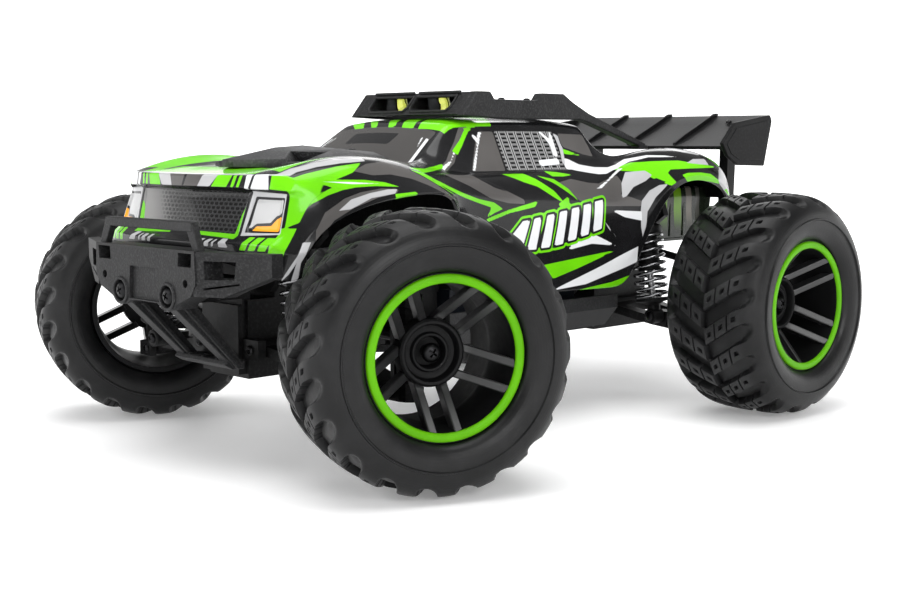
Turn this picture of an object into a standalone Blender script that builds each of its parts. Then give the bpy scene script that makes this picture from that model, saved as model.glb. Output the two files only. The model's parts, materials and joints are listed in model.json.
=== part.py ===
"""Radio-controlled monster truck, about 1/14 scale, as an assembly of separate pieces.

The front looks along -Y, the left side along +X, and +Z is up. The origin is on the ground under the middle of
the truck. Every size below is in millimetres, and the helpers turn it into metres. The front wheels rest
steered REST_STEER degrees to the truck's right, and all the steering pieces are placed for that angle.
"""

import math

import bmesh
import bpy
from mathutils import Matrix, Vector

MM = 0.001
GAP = 0.3

# Driving dimensions
AXLE_Y = 104.0
TRACK_HALF = 98.5
AXLE_Z = 50.0
TYRE_RADIUS = 50.0
TYRE_HALF_WIDTH = 25.0
TYRE_STEPS = 32
REST_STEER = -22.0

# Steering: the kingpin stands inboard of the wheel's middle, and the tie rod ball sits behind it
KINGPIN_X = 83.5
STEER_BALL = (-4.0, 16.0)
RACK_Y = -76.0
RACK_HALF = 17.0
HORN_PIVOT = (20.0, -50.0)
LINK_Z = 47.1

# Suspension: both arms of a corner are parallel, so the wheel stays upright
ARM_INNER = (17.0, 43.0)
ARM_OUTER = (73.0, 33.0)
LINK_RISE = 30.0
SHOCK_DY = -20.0
SHOCK_TOP = (43.0, 89.0)
SHOCK_FOOT = (50.0, 41.0)

# Wheel, measured along its axle from the middle plane, outwards positive
RIM_HALF_WIDTH = 22.0
RIM_INNER_RADIUS = 26.5
RIM_OUTER_RADIUS = 29.2
HUB_FACE = 7.0
OFF_PHASE = 0.05  # turns the rim's facets so that none of them meets a bar edge to edge

# Drive line
SHAFT_Z = 50.0
MOTOR_AXIS = (-17.0, 54.6)
GEAR_MODULE = 0.8
PINION_TEETH = 11
SPUR_TEETH = 33
GEAR_Y = (63.0, 68.0)

# Thickness of the moulded shell and of the inner tub
SHELL = 1.2

# name: (colour, roughness, metallic)
MATERIALS = {
    "painted_shell": ((0.10, 0.62, 0.03), 0.15, 0.0),
    "textured_plastic": ((0.035, 0.035, 0.038), 0.6, 0.0),
    "black_plastic": ((0.02, 0.02, 0.022), 0.45, 0.0),
    "smoked_shell": ((0.05, 0.08, 0.03), 0.2, 0.0),
    "satin_black": ((0.015, 0.015, 0.016), 0.35, 0.0),
    "tyre_rubber": ((0.022, 0.022, 0.024), 0.75, 0.0),
    "dark_chrome": ((0.45, 0.45, 0.47), 0.2, 1.0),
    "steel": ((0.55, 0.55, 0.57), 0.3, 1.0),
    "battery_wrap": ((0.05, 0.08, 0.25), 0.4, 0.0),
    "nylon_gear": ((0.6, 0.58, 0.5), 0.5, 0.0),
}


# ---------------------------------------------------------------- helpers


def new_collection(name):
    collection = bpy.data.collections.new(name)
    bpy.context.scene.collection.children.link(collection)
    return collection


def clear_scene():
    for obj in list(bpy.data.objects):
        bpy.data.objects.remove(obj, do_unlink=True)


def make_materials():
    for name, (colour, roughness, metallic) in MATERIALS.items():
        material = bpy.data.materials.new(name)
        material.use_nodes = True
        shader = material.node_tree.nodes["Principled BSDF"]
        shader.inputs["Base Color"].default_value = (*colour, 1)
        shader.inputs["Roughness"].default_value = roughness
        shader.inputs["Metallic"].default_value = metallic
        material.diffuse_color = (*colour, 1)


clear_scene()
make_materials()
TRUCK = new_collection("monster_truck")
BENCH = new_collection("bench")


def bench_object(data):
    obj = bpy.data.objects.new("shape", data)
    BENCH.objects.link(obj)
    return obj


def from_bmesh(shape):
    mesh = bpy.data.meshes.new("shape")
    shape.to_mesh(mesh)
    shape.free()
    return bench_object(mesh)


def baked(obj, weld=True):
    """The object as a plain mesh in world space, in place of the object itself."""
    bpy.context.view_layer.update()
    graph = bpy.context.evaluated_depsgraph_get()
    mesh = bpy.data.meshes.new_from_object(obj.evaluated_get(graph))
    mesh.transform(obj.matrix_world)
    shape = bmesh.new()
    shape.from_mesh(mesh)
    if weld:
        bmesh.ops.remove_doubles(shape, verts=shape.verts, dist=1e-6)
    bmesh.ops.recalc_face_normals(shape, faces=shape.faces)
    bpy.data.objects.remove(obj, do_unlink=True)
    bpy.data.meshes.remove(mesh)
    return from_bmesh(shape)


def block(low, high):
    """A box between two opposite corners."""
    low = Vector(low) * MM
    high = Vector(high) * MM
    shape = bmesh.new()
    bmesh.ops.create_cube(shape, size=1)
    bmesh.ops.scale(shape, vec=high - low, verts=shape.verts)
    bmesh.ops.translate(shape, vec=(low + high) / 2, verts=shape.verts)
    return from_bmesh(shape)


def along(start, end):
    """The matrix that takes local +Z to the way from start to end, with the origin at start."""
    turn = (Vector(end) - Vector(start)).to_track_quat("Z", "Y")
    return Matrix.Translation(Vector(start) * MM) @ turn.to_matrix().to_4x4()


def rod(start, end, radius, sides=12, end_radius=None):
    """A cylinder, or a cone, between two points."""
    length = (Vector(end) - Vector(start)).length
    far = radius if end_radius is None else end_radius
    shape = bmesh.new()
    bmesh.ops.create_cone(
        shape, cap_ends=True, segments=sides, radius1=radius * MM, radius2=far * MM, depth=length * MM
    )
    bmesh.ops.translate(shape, vec=(0, 0, length / 2 * MM), verts=shape.verts)
    obj = from_bmesh(shape)
    obj.data.transform(along(start, end))
    return obj


def plate(outlines, span, normal):
    """Flat outlines, the first one outside and the others holes, extruded over span along an axis.

    The outlines are (y, z) for normal X, (x, z) for normal Y and (x, y) for normal Z.
    """
    curve = bpy.data.curves.new("plate", "CURVE")
    curve.dimensions = "2D"
    curve.fill_mode = "BOTH"
    curve.extrude = (span[1] - span[0]) / 2 * MM
    for outline in outlines:
        spline = curve.splines.new("POLY")
        spline.points.add(len(outline) - 1)
        spline.use_cyclic_u = True
        for point, (u, v) in zip(spline.points, outline):
            point.co = (u * MM, v * MM, 0, 1)
    middle = (span[0] + span[1]) / 2 * MM
    obj = bench_object(curve)
    columns = {
        "X": ((0, 1, 0), (0, 0, 1), (1, 0, 0)),
        "Y": ((1, 0, 0), (0, 0, 1), (0, -1, 0)),
        "Z": ((1, 0, 0), (0, 1, 0), (0, 0, 1)),
    }[normal]
    turn = Matrix(columns).transposed().to_4x4()
    shift = {"X": (middle, 0, 0), "Y": (0, middle, 0), "Z": (0, 0, middle)}[normal]
    obj.matrix_world = Matrix.Translation(shift) @ turn
    return baked(obj)


def turned(profile, start, end, steps=16, phase=0.0):
    """A profile of (radius, distance from start), listed from the far end back, turned about start to end."""
    mesh = bpy.data.meshes.new("profile")
    points = [(radius * MM, 0, height * MM) for radius, height in profile]
    edges = [(i, i + 1) for i in range(len(points) - 1)]
    if profile[0] == profile[-1]:
        points.pop()
        edges[-1] = (len(points) - 1, 0)
    mesh.from_pydata(points, edges, [])
    obj = bench_object(mesh)
    screw = obj.modifiers.new("turn", "SCREW")
    screw.axis = "Z"
    screw.steps = steps
    screw.render_steps = steps
    screw.use_merge_vertices = True
    screw.merge_threshold = 1e-6
    obj.matrix_world = along(start, end) @ Matrix.Rotation(phase, 4, "Z")
    return baked(obj)


def tube(points, radius, resolution=2):
    """A round wire along straight runs between points."""
    curve = bpy.data.curves.new("tube", "CURVE")
    curve.dimensions = "3D"
    curve.bevel_depth = radius * MM
    curve.bevel_resolution = resolution
    curve.use_fill_caps = True
    spline = curve.splines.new("POLY")
    spline.points.add(len(points) - 1)
    for point, place in zip(spline.points, points):
        point.co = (*(Vector(place) * MM), 1)
    return baked(bench_object(curve))


def moved(obj, matrix):
    obj.data.transform(matrix)
    return obj


def combined(base, others, operation):
    for other in others:
        boolean = base.modifiers.new(operation, "BOOLEAN")
        boolean.operation = operation
        boolean.object = other
        boolean.solver = "EXACT"
    result = baked(base, weld=False)
    for other in others:
        bpy.data.objects.remove(other, do_unlink=True)
    return result


def piece(name, material, solids, cuts=(), pivot=(0, 0, 0), smooth=True, place=None):
    """Joins the solids, takes the cuts away, and files the result as one named piece with its origin at pivot."""
    obj = solids[0]
    if solids[1:]:
        obj = combined(obj, solids[1:], "UNION")
    if cuts:
        obj = combined(obj, list(cuts), "DIFFERENCE")
    obj.name = name
    obj.data.name = name
    if place:
        obj.data.transform(place)
    obj.data.transform(Matrix.Translation(-Vector(pivot) * MM))
    obj.location = Vector(pivot) * MM
    if smooth:
        obj.data.shade_smooth()
        obj.data.set_sharp_from_angle(angle=math.radians(35))
    obj.data.materials.clear()
    obj.data.materials.append(bpy.data.materials[material])
    BENCH.objects.unlink(obj)
    TRUCK.objects.link(obj)
    return obj


def mirrored(outline):
    """An outline given for x >= 0, from top to bottom, closed with its mirror image."""
    return list(outline) + [(-x, z) for x, z in reversed(outline) if x > 0]


def turned_point(x, y, degrees):
    angle = math.radians(degrees)
    return (x * math.cos(angle) - y * math.sin(angle), x * math.sin(angle) + y * math.cos(angle))


# ---------------------------------------------------------------- body shell

# Half of the moulded shell as a coarse cage. Each station is a row from the centre line out and down to the
# lower edge: centre, two points across the top, inner and outer edge of the roof or fender crest, shoulder,
# top of the wheel arch flare, its lip, and the lower edge.
STATIONS = [
    # lower edge of the front apron
    [(0, -149, 80), (14, -149, 80), (29, -148.5, 79.5), (40, -147.5, 78), (47, -147, 76), (52.5, -146, 74.5),
     (55.5, -143, 74), (58, -139, 73.5), (60, -135.5, 73)],
    # outer edge of the chin under the grille
    [(0, -149, 86), (14, -149, 86), (29, -148, 86.2), (38, -146.5, 86.5), (47, -145, 86.5), (54, -142.5, 86),
     (57, -139.5, 84), (60.5, -136.5, 83), (62, -133, 83)],
    # lower edge of the grille and headlights
    [(0, -145, 88), (14, -145, 88), (30, -143.2, 88.3), (38, -142.5, 89.2), (47, -141, 89.6), (53.5, -138.5, 89.5),
     (57, -135.5, 89.5), (61, -132, 90), (62.5, -128.5, 89.5)],
    # upper edge of the grille and headlights
    [(0, -141, 105), (14, -140.6, 105), (30, -139.2, 105), (38, -138, 104.5), (46, -136.2, 104.2), (52, -133.8, 104),
     (57, -129, 100.5), (61.5, -124, 96), (63, -120.5, 94.5)],
    # lower edge of the bonnet lip
    [(0, -143.5, 106.2), (14, -143.2, 106.2), (30, -141.8, 106.2), (40, -140, 106), (48, -137.6, 105.8),
     (53.5, -134, 105.2), (58, -125.5, 103.5), (62, -117, 99), (63.5, -113.5, 97.3)],
    # upper edge of the bonnet lip
    [(0, -142.5, 110.6), (14, -142.2, 110.6), (30, -140.8, 110.6), (40, -139, 110.8), (48, -136, 111.2),
     (54, -130.5, 110), (58.5, -120, 106.5), (62.5, -110, 101.5), (64, -106, 99.6)],
    # fenders rise towards the front axle
    [(0, -128, 112), (14, -128, 112.2), (28, -127, 112.6), (38, -126, 114), (47, -123.5, 115.6), (54.5, -117, 113.6),
     (59, -109, 108.6), (63, -101, 103.2), (64.5, -98, 101.4)],
    [(0, -110, 112.8), (14, -110, 113), (29, -110, 113.6), (38, -109, 116.4), (47, -107, 118.4), (54.5, -101, 115.8),
     (59, -96, 109.8), (63, -90, 104.8), (64.5, -88, 102.8)],
    [(0, -93, 113.3), (14, -93, 113.5), (29, -93, 114), (38, -92.5, 116.6), (47, -91, 118.3), (54, -87, 115.6),
     (58.5, -84, 110), (62, -80, 105.6), (63.5, -78.5, 103.6)],
    [(0, -77, 113.7), (14, -77, 113.8), (30, -77, 114), (38, -76.5, 115.2), (46.5, -76, 116), (53, -74, 113.8),
     (57.5, -71.5, 109.4), (61, -69, 105.2), (62, -67.5, 103.6)],
    # foot of the windscreen
    [(0, -64, 114.2), (14, -63, 114.2), (30, -61, 113.8), (39, -58.5, 113), (46.5, -60, 112.6), (52, -61.5, 110.8),
     (56, -60.5, 107.4), (58.5, -58.5, 103), (59.5, -57, 101.5)],
    # top of the windscreen
    [(0, -38, 131), (14, -37.5, 131), (26.5, -36.8, 130.6), (32.5, -35.5, 129.8), (44.5, -39, 110.2), (51, -42, 107.8),
     (54, -46, 102.5), (55, -49, 96), (55.5, -51, 93)],
    [(0, -24, 133), (14, -24, 133), (27, -24, 132.6), (34, -24, 130.4), (44.5, -25, 110), (51.5, -28, 107),
     (54, -33, 97), (54, -39, 82), (53, -47, 74)],
    [(0, -5, 133.5), (14, -5, 133.5), (27.5, -5, 133), (34.5, -5, 130.8), (44.5, -5, 110.4), (51.5, -8, 106.5),
     (54.5, -14, 93), (54, -24, 72), (50, -40, 60)],
    [(0, 18, 133.5), (14, 18, 133.5), (27.5, 18, 133), (34.5, 18, 130.8), (44.5, 16, 111), (51.5, 14, 105.5),
     (54.5, 9, 91), (54, 2, 70), (50, -10, 58)],
    [(0, 39, 133), (14, 39, 133), (27.5, 38.5, 132.6), (34.5, 37, 130.4), (44, 33, 112), (51.5, 32, 104.5),
     (54.5, 30, 89), (54, 27, 68), (50, 22, 57.5)],
    # rear edge of the roof
    [(0, 50, 131.4), (14, 50, 131.4), (26.5, 49.5, 131), (33, 47.5, 129.4), (41.5, 52, 113.8), (50.5, 50, 105.6),
     (54.5, 50, 89), (54.5, 48, 68), (50.5, 48, 57)],
    # foot of the rear screen
    [(0, 64, 113), (14, 64, 113), (27, 63, 113), (35, 62, 113.4), (43, 63, 116.4), (51.5, 61.5, 111), (55.5, 61, 94),
     (55.5, 60.5, 70), (52, 61, 56.8)],
    # rear fenders, over the wheel arch
    [(0, 78, 112.5), (14, 78, 112.5), (28, 78, 112.8), (37, 77, 116.6), (46, 76, 120.2), (53, 73.5, 117.4),
     (57.5, 71.5, 105), (58.5, 69.5, 92), (57.5, 68, 80)],
    [(0, 97, 112.5), (14, 97, 112.5), (28, 97, 113), (37, 97, 118), (46, 97, 121.2), (54, 95, 118.8),
     (58, 91, 112.5), (60.5, 86, 107.4), (60.5, 84, 105)],
    [(0, 116, 111.6), (14, 116, 111.6), (28, 116, 112), (37, 116, 116.4), (46, 116.5, 119.3), (53.5, 116, 117),
     (58, 114, 111.6), (60.5, 111, 107.4), (60.5, 109.5, 105.2)],
    [(0, 131, 109), (14, 131, 109), (28, 131, 109.4), (38, 131.5, 112.6), (46, 132, 114.8), (52.5, 131.5, 112.4),
     (57, 129, 107.2), (59, 126, 102.4), (59, 124.5, 100.4)],
    # rounded rear end and its lower edge
    [(0, 141, 104), (14, 141, 104), (28, 141, 104.4), (38, 141, 106.6), (46, 140.5, 107.8), (52, 138.5, 105),
     (56, 134.5, 100.6), (58, 131, 97.4), (58, 129.5, 96.2)],
    [(0, 144, 95), (14, 144, 95), (28, 143.8, 95), (38, 143.2, 95.2), (46, 142, 95.4), (51.5, 139.5, 94.6),
     (55.5, 136, 93.8), (57, 133, 93.2), (57, 131.5, 93)],
]

# Sharp lines of the shell: ("station" or "line", index, first, last, crease)
CREASES = [
    ("station", 1, 0, 8, 0.7),
    ("station", 2, 0, 5, 0.8),
    ("station", 3, 0, 5, 0.8),
    ("station", 4, 0, 5, 0.7),
    ("station", 5, 0, 5, 0.6),
    ("station", 10, 0, 3, 0.6),
    ("station", 11, 0, 3, 0.5),
    ("station", 16, 0, 3, 0.6),
    ("station", 17, 0, 3, 0.6),
    ("line", 3, 10, 17, 0.5),
    ("line", 4, 10, 16, 0.7),
    ("line", 5, 0, 5, 0.6),
    ("line", 7, 0, 23, 0.5),
]


def body_shell():
    shape = bmesh.new()
    grid = [[shape.verts.new(Vector(point) * MM) for point in station] for station in STATIONS]
    for row, after in zip(grid, grid[1:]):
        for k in range(len(row) - 1):
            shape.faces.new((row[k], row[k + 1], after[k + 1], after[k]))
    crease = shape.edges.layers.float.new("crease_edge")
    for kind, index, first, last, value in CREASES:
        for k in range(first, last):
            ends = (grid[index][k], grid[index][k + 1]) if kind == "station" else (grid[k][index], grid[k + 1][index])
            shape.edges.get(ends)[crease] = value
    bmesh.ops.recalc_face_normals(shape, faces=shape.faces)
    if shape.faces[0].normal.y > 0:
        bmesh.ops.reverse_faces(shape, faces=shape.faces)
    obj = from_bmesh(shape)
    mirror = obj.modifiers.new("both halves", "MIRROR")
    mirror.use_clip = True
    mirror.merge_threshold = 1e-6
    smooth = obj.modifiers.new("smooth", "SUBSURF")
    smooth.levels = 1
    smooth.render_levels = 1
    simpler = obj.modifiers.new("fewer faces", "DECIMATE")
    simpler.ratio = 0.4
    wall = obj.modifiers.new("wall", "SOLIDIFY")
    wall.thickness = SHELL * MM
    wall.offset = -1
    wall.use_even_offset = True
    piece("body_shell", "painted_shell", [baked(obj)])


def rear_inner_tub():
    """The smoked walls inside the rear wheel arches, joined by a panel under the rear deck."""
    wall = [(37, 101), (36.2, 95), (36, 77.5)]
    outer = [(0, 101)] + wall
    inner = [(x - SHELL, z - SHELL) for x, z in wall[:2]] + [(36 - SHELL, 77.5)]
    half = outer + [(x, z) for x, z in reversed(inner)] + [(0, 101 - SHELL)]
    outline = half + [(-x, z) for x, z in reversed(half) if x > 0]
    piece("rear_inner_tub", "smoked_shell", [plate([outline], (98, 138.5), "Y")])


def hood_scoop():
    """The raised black panel on the bonnet, with two forward-facing nostrils."""
    base = [(11, -131), (20, -128), (26, -104), (30, -84), (30, -66)]
    outline = [(x, y) for x, y in base] + [(-x, y) for x, y in reversed(base)]
    slab = plate([outline], (112, 122.5), "Z")
    under = plate([[(-140, 100), (-140, 113.4), (-110, 114.5), (-60, 115.7), (-60, 100)]], (-50, 50), "X")
    over = plate([[(-140, 130), (-140, 116), (-131, 117), (-104, 121.5), (-84, 121.8), (-60, 117.4), (-60, 130)]],
                 (-50, 50), "X")
    nostrils = [block((side * 17 - 4.5, -114, 117.5), (side * 17 + 4.5, -98, 125)) for side in (-1, 1)]
    piece("hood_scoop", "textured_plastic", [slab], [under, over, *nostrils])


def roof_rack():
    """A frame on the roof with a pod for two lamps in front and two bars sloping down behind."""
    profile = [(-30, 134), (-21, 144), (-13, 144), (-10.5, 140.8), (17, 140.8), (19.5, 144), (34, 144), (40.5, 140.4),
               (51.5, 135.6), (94, 121.8), (92, 119.6), (52, 131.9), (46, 134)]
    bars = [plate([profile], (side * 33.5 - 2.5, side * 33.5 + 2.5), "X") for side in (-1, 1)]
    pod = plate([[(-29.8, 134.2), (-21.2, 143.8), (-13.2, 143.8), (-13.2, 134.2)]], (-33, 33), "X")
    rear_bar = plate([[(30, 134.2), (30, 141), (40, 139.8), (40, 134.2)]], (-33, 33), "X")
    lamps = [block((side * 14 - 11.5, -40, 135.8), (side * 14 + 11.5, -17, 141.6)) for side in (-1, 1)]
    piece("roof_rack", "textured_plastic", [pod, *bars, rear_bar], lamps)


# ---------------------------------------------------------------- wing


def rear_wing():
    """A blade rising to the rear between two end plates, with three fins on it."""
    blade = plate([[(124, 118.9), (160.5, 134.2), (160.5, 136), (123.4, 120.7)]], (-60.5, 60.5), "X")
    end = [(120.8, 122), (131, 132), (161, 136), (162.6, 133), (156.5, 110.8), (134, 111.4), (125, 116)]
    ends = [plate([end], (side * 60 - 1.1, side * 60 + 1.1), "X") for side in (-1, 1)]
    fin = [(125, 120), (125.5, 123.5), (151, 135.8), (160, 135.6)]
    fins = [plate([fin], (x - 0.9, x + 0.9), "X") for x in (-29, 0, 29)]
    piece("rear_wing", "textured_plastic", [blade, *ends, *fins])


def wing_mount():
    """Two posts under the wing, a cross bar behind the shell and an arm forward to the rear tower."""
    post = [(147, 82), (153, 82), (155, 131.5), (148, 128.6)]
    posts = [plate([post], (side * 43 - 2.5, side * 43 + 2.5), "X") for side in (-1, 1)]
    bar = block((-44, 146.5, 82.5), (44, 152.5, 88.5))
    arm = block((-6, 96.3 + GAP, 83.5), (6, 150, 87.5))
    piece("wing_mount", "black_plastic", [bar, *posts, arm])


# ---------------------------------------------------------------- chassis


def chassis_tub():
    floor = [(9.7, -84 + GAP), (9.7, -81.8), (20, -80), (37, -58), (39, 52), (20, 80), (9.7, 81.8), (9.7, 84 - GAP)]
    outline = floor + [(-x, y) for x, y in reversed(floor)]
    spur_slot = [(-14.5, 61.5), (14.5, 61.5), (14.5, 69.5), (-14.5, 69.5)]
    base = plate([outline, spur_slot], (37.5, 40.5), "Z")
    solids = [base]
    for side in (-1, 1):
        wall = [(side * x, z) for x, z in ((36.4, 38.2), (39.5, 38.2), (47, 47), (47, 53), (45, 53), (44.5, 48), (36.4, 42))]
        solids.append(plate([wall], (-48, 60), "Y"))
        solids.append(block((side * 36 - 1, -46, 39), (side * 36 + 1, 50, 50)))
    piece("chassis_tub", "black_plastic", solids)


def gearbox(name, axle_y):
    """A differential case with the lugs of the lower and upper arms."""
    case = block((-13, axle_y - 20, 31), (13, axle_y + 20, 62))
    bulkhead = block((-13, axle_y - 7, 60), (13, axle_y + 7, 77))
    solids = [case, bulkhead]
    for side in (-1, 1):
        for low, high in ((-22, -18 - GAP), (18 + GAP, 22)):
            solids.append(block((side * 16 - 6, axle_y + low, 39), (side * 16 + 6, axle_y + high, 47)))
        for low, high in ((-6.8, -3 - GAP), (3 + GAP, 6.8)):
            solids.append(block((side * 15 - 5, axle_y + low, 69.5), (side * 15 + 5, axle_y + high, 76.5)))
    nose = block((-12, axle_y - 42, 62.5), (12, axle_y - 19, 71))
    chin = block((-12, axle_y - 24, 33), (12, axle_y - 19, 60))
    if axle_y < 0:
        solids += [nose, chin]
        solids.append(block((-12, axle_y - 22, 50), (12, axle_y - 18, 70)))
    piece(name, "black_plastic", solids, pivot=(0, axle_y, AXLE_Z))


def shock_tower(name, axle_y):
    """The plate that the shock absorbers hang from, with two posts that carry the shell."""
    half = [(14, 84), (24, 92), (46, 94), (48, 88), (40, 82), (22, 72), (15, 64.5)]
    low, high = axle_y - 11, axle_y - 7.7
    solids = [plate([mirrored(half)], (low, high), "Y")]
    top = 109.5 if axle_y < 0 else 96.5
    for side in (-1, 1):
        solids.append(rod((side * 43, low + 1, 89), (side * 43, axle_y + SHOCK_DY + 3.5 + GAP, 89), 3))
        solids.append(block((side * 22 - 2, low + 0.4, 80), (side * 22 + 2, high - 0.4, top)))
    piece(name, "black_plastic", solids, pivot=(0, axle_y - 9.35, 64.5))


def bumper_wing(side):
    """The swept side of the bumper, cut away below and with a rectangular window."""
    plan = [(33, -161.9), (62, -149), (62, -144), (56, -146.5), (50, -149.8), (33, -152.4)]
    wing = plate([[(side * x, y) for x, y in plan]], (67.7, 83.8), "Z")
    under = plate([[(side * x, z) for x, z in ((36, 60), (44, 67.8), (64, 76.5), (64, 60))]], (-170, -130), "Y")
    window = block((side * 42.5 - 5.8, -165, 74), (side * 42.5 + 5.8, -140, 80.5))
    return combined(wing, [under, window], "DIFFERENCE")


def front_bumper():
    """A thick face with swept wings, a hoop on top, and two legs down to a skid plate."""
    face_half = [(34, 84), (34, 72), (31, 67.5), (22, 64), (19, 61.5), (13, 61.5), (9, 63.5)]
    face = plate([mirrored(face_half)], (-162, -152), "Y")
    cuts = [block((-10, -170, 64.6), (10, -160.6, 76)), block((-20, -157.5, 66), (20, -145, 80.5))]
    cuts += [block((side * 27 - 4, -165, 78), (side * 27 + 4, -145, 83)) for side in (-1, 1)]
    solids = [combined(face, cuts, "DIFFERENCE")]
    for side in (-1, 1):
        solids.append(bumper_wing(side))
        solids.append(tube([(side * 32, -157, 81.2), (side * 27.5, -158.6, 93)], 1.9, 1))
        leg = [(-160, 62), (-154, 66.5), (-130, 39), (-134, 37)]
        solids.append(plate([leg], (side * 14.5 - 3, side * 14.5 + 3), "X"))
    solids.append(block((-29.2, -160.4, 90.4), (29.2, -156.8, 94.2)))
    solids.append(block((-17.3, -138, 36.2), (17.3, -129, 39.6)))
    solids.append(block((-11, -158.5, 68), (11, -146.5, 79)))
    piece("front_bumper", "textured_plastic", solids)


# ---------------------------------------------------------------- electrics and drive line


def battery_pack():
    piece("battery_pack", "battery_wrap", [block((6.5, -36, 40.8), (34.5, 44, 61))], smooth=False)


def electronics_box():
    case = block((-34.5, -36, 40.8), (-6.5, 8, 56))
    lid = block((-32, -33, 55), (-9, 5, 60))
    piece("electronics_box", "black_plastic", [case, lid], smooth=False)


def steering_servo():
    x, y = HORN_PIVOT
    case = block((x - 9, y - 8, 46), (x + 9, y + 12, 70))
    ears = block((x - 9, y - 12, 60), (x + 9, y + 13, 63))
    piece("steering_servo", "black_plastic", [case, ears], pivot=(x, y, 46), smooth=False)


def drive_motor():
    x, z = MOTOR_AXIS
    profile = [(0, 45), (4, 45), (4, 43.5), (12, 43.5), (13, 42), (13, 2), (12, 0.5), (4, 0.5), (4, -2), (0, -2)]
    can = turned(profile, (x, 17.5, z), (x, 62, z), 20)
    piece("drive_motor", "steel", [can])


def gear_outline(teeth, phase):
    """Trapezoid teeth on the pitch circle, thinner than half a pitch so that a pair runs with backlash."""
    pitch_radius = GEAR_MODULE * teeth / 2
    tip = pitch_radius + 0.8 * GEAR_MODULE
    root = pitch_radius - 1.1 * GEAR_MODULE
    step = 2 * math.pi / teeth
    outline = []
    for tooth in range(teeth):
        for radius, turn in ((root, -0.34), (tip, -0.11), (tip, 0.11), (root, 0.34)):
            angle = phase + (tooth + turn) * step
            outline.append((radius * math.cos(angle), radius * math.sin(angle)))
    return outline


def gears():
    """The motor's pinion and the spur gear on the shaft that runs to both axles, in mesh at rest."""
    x, z = MOTOR_AXIS
    towards_pinion = math.atan2(z - SHAFT_Z, x)
    spur = [(u, SHAFT_Z + v) for u, v in gear_outline(SPUR_TEETH, towards_pinion)]
    towards_spur = towards_pinion + math.pi + math.pi / PINION_TEETH
    pinion = [(x + u, z + v) for u, v in gear_outline(PINION_TEETH, towards_spur)]
    shaft = rod((0, -84 + GAP, SHAFT_Z), (0, 84 - GAP, SHAFT_Z), 2.5)
    wheel = plate([spur], GEAR_Y, "Y")
    piece("spur_gear_shaft", "nylon_gear", [wheel, shaft], pivot=(0, GEAR_Y[0], SHAFT_Z))
    piece("motor_pinion", "steel", [plate([pinion], GEAR_Y, "Y")], pivot=(x, GEAR_Y[0], z))


# ---------------------------------------------------------------- steering


def ball_at_rest(side):
    """Where the tie rod's ball of the left (1) or right (-1) knuckle lies at rest."""
    dx, dy = turned_point(side * STEER_BALL[0], STEER_BALL[1], REST_STEER)
    return side * KINGPIN_X + dx, -AXLE_Y + dy


def rack_shift():
    """How far the rack rests from the middle: the mean shift of the two balls from straight ahead."""
    shifts = [ball_at_rest(side)[0] - side * (KINGPIN_X + STEER_BALL[0]) for side in (-1, 1)]
    return sum(shifts) / 2


def steering_linkage():
    shift = rack_shift()
    x, y = HORN_PIVOT
    bar = block((shift - RACK_HALF - 3, RACK_Y - 3, 41), (shift + RACK_HALF + 7, RACK_Y + 2, 43.6))
    prongs = [block((shift + x + dx - 1.2, RACK_Y + 1, 41.2), (shift + x + dx + 1.2, RACK_Y + 7, 43.8))
              for dx in (-3.8, 3.8)]
    piece("steering_rack", "black_plastic", [bar, *prongs], pivot=(shift, RACK_Y, 42.5))
    arm = -(RACK_Y + 4.5 - y)
    angle = math.asin(shift / arm)
    tip = (x + arm * math.sin(angle), y - arm * math.cos(angle))
    hub = rod((x, y, 41), (x, y, 45.6), 4.5)
    end = rod((*tip, 41.3), (*tip, 43.7), 1.9)
    along_arm = Vector((tip[0] - x, tip[1] - y))
    across = Vector((-along_arm.y, along_arm.x)).normalized()
    corners = [across * 3.5, along_arm + across * 1.2, along_arm - across * 1.2, across * -3.5]
    web = plate([[(x + c.x, y + c.y) for c in corners]], (41.5, 43.5), "Z")
    piece("servo_horn", "black_plastic", [hub, web, end], pivot=(x, y, 42.5))
    for side, label in ((1, "left"), (-1, "right")):
        inner = Vector((shift + side * RACK_HALF, RACK_Y, LINK_Z))
        outer = Vector((*ball_at_rest(side), LINK_Z))
        cups = [rod(end - Vector((0, 0, 2)), end + Vector((0, 0, 2)), 2.6, 10) for end in (inner, outer)]
        link = rod(inner, outer, 1.7, 8)
        piece(f"{label}_tie_rod", "black_plastic", [link, *cups], pivot=tuple(inner))


# ---------------------------------------------------------------- suspension corner


def lower_arm(name, side, axle_y):
    """A tapered arm with a window, hinged along its inner tube, with a lug for the shock absorber."""
    length = math.dist(ARM_INNER, ARM_OUTER)
    slope = math.atan2(ARM_OUTER[1] - ARM_INNER[1], ARM_OUTER[0] - ARM_INNER[0])
    outline = [(0, -17.6), (28, -15.5), (49, -8.6), (length, -8.6), (length, 8.6), (49, 8.6), (28, 12.5), (0, 17.6)]
    window = [(8, -10), (38, -6.5), (38, 6.5), (8, 10)]
    web = plate([outline, window], (-2, 2), "Z")
    place = Matrix.Translation(Vector((ARM_INNER[0], axle_y, ARM_INNER[1])) * MM) @ Matrix.Rotation(-slope, 4, "Y")
    moved(web, place)
    inner = rod((ARM_INNER[0], axle_y - 18, ARM_INNER[1]), (ARM_INNER[0], axle_y + 18, ARM_INNER[1]), 3.4)
    outer = rod((ARM_OUTER[0], axle_y - 9, ARM_OUTER[1]), (ARM_OUTER[0], axle_y + 9, ARM_OUTER[1]), 3)
    lug = block((46, axle_y + SHOCK_DY + 3.5 + GAP, 36), (54, axle_y - 8, 43))
    solids = placed([web, inner, outer, lug], side)
    piece(name, "black_plastic", solids, pivot=(side * ARM_INNER[0], axle_y, ARM_INNER[1]))


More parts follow.
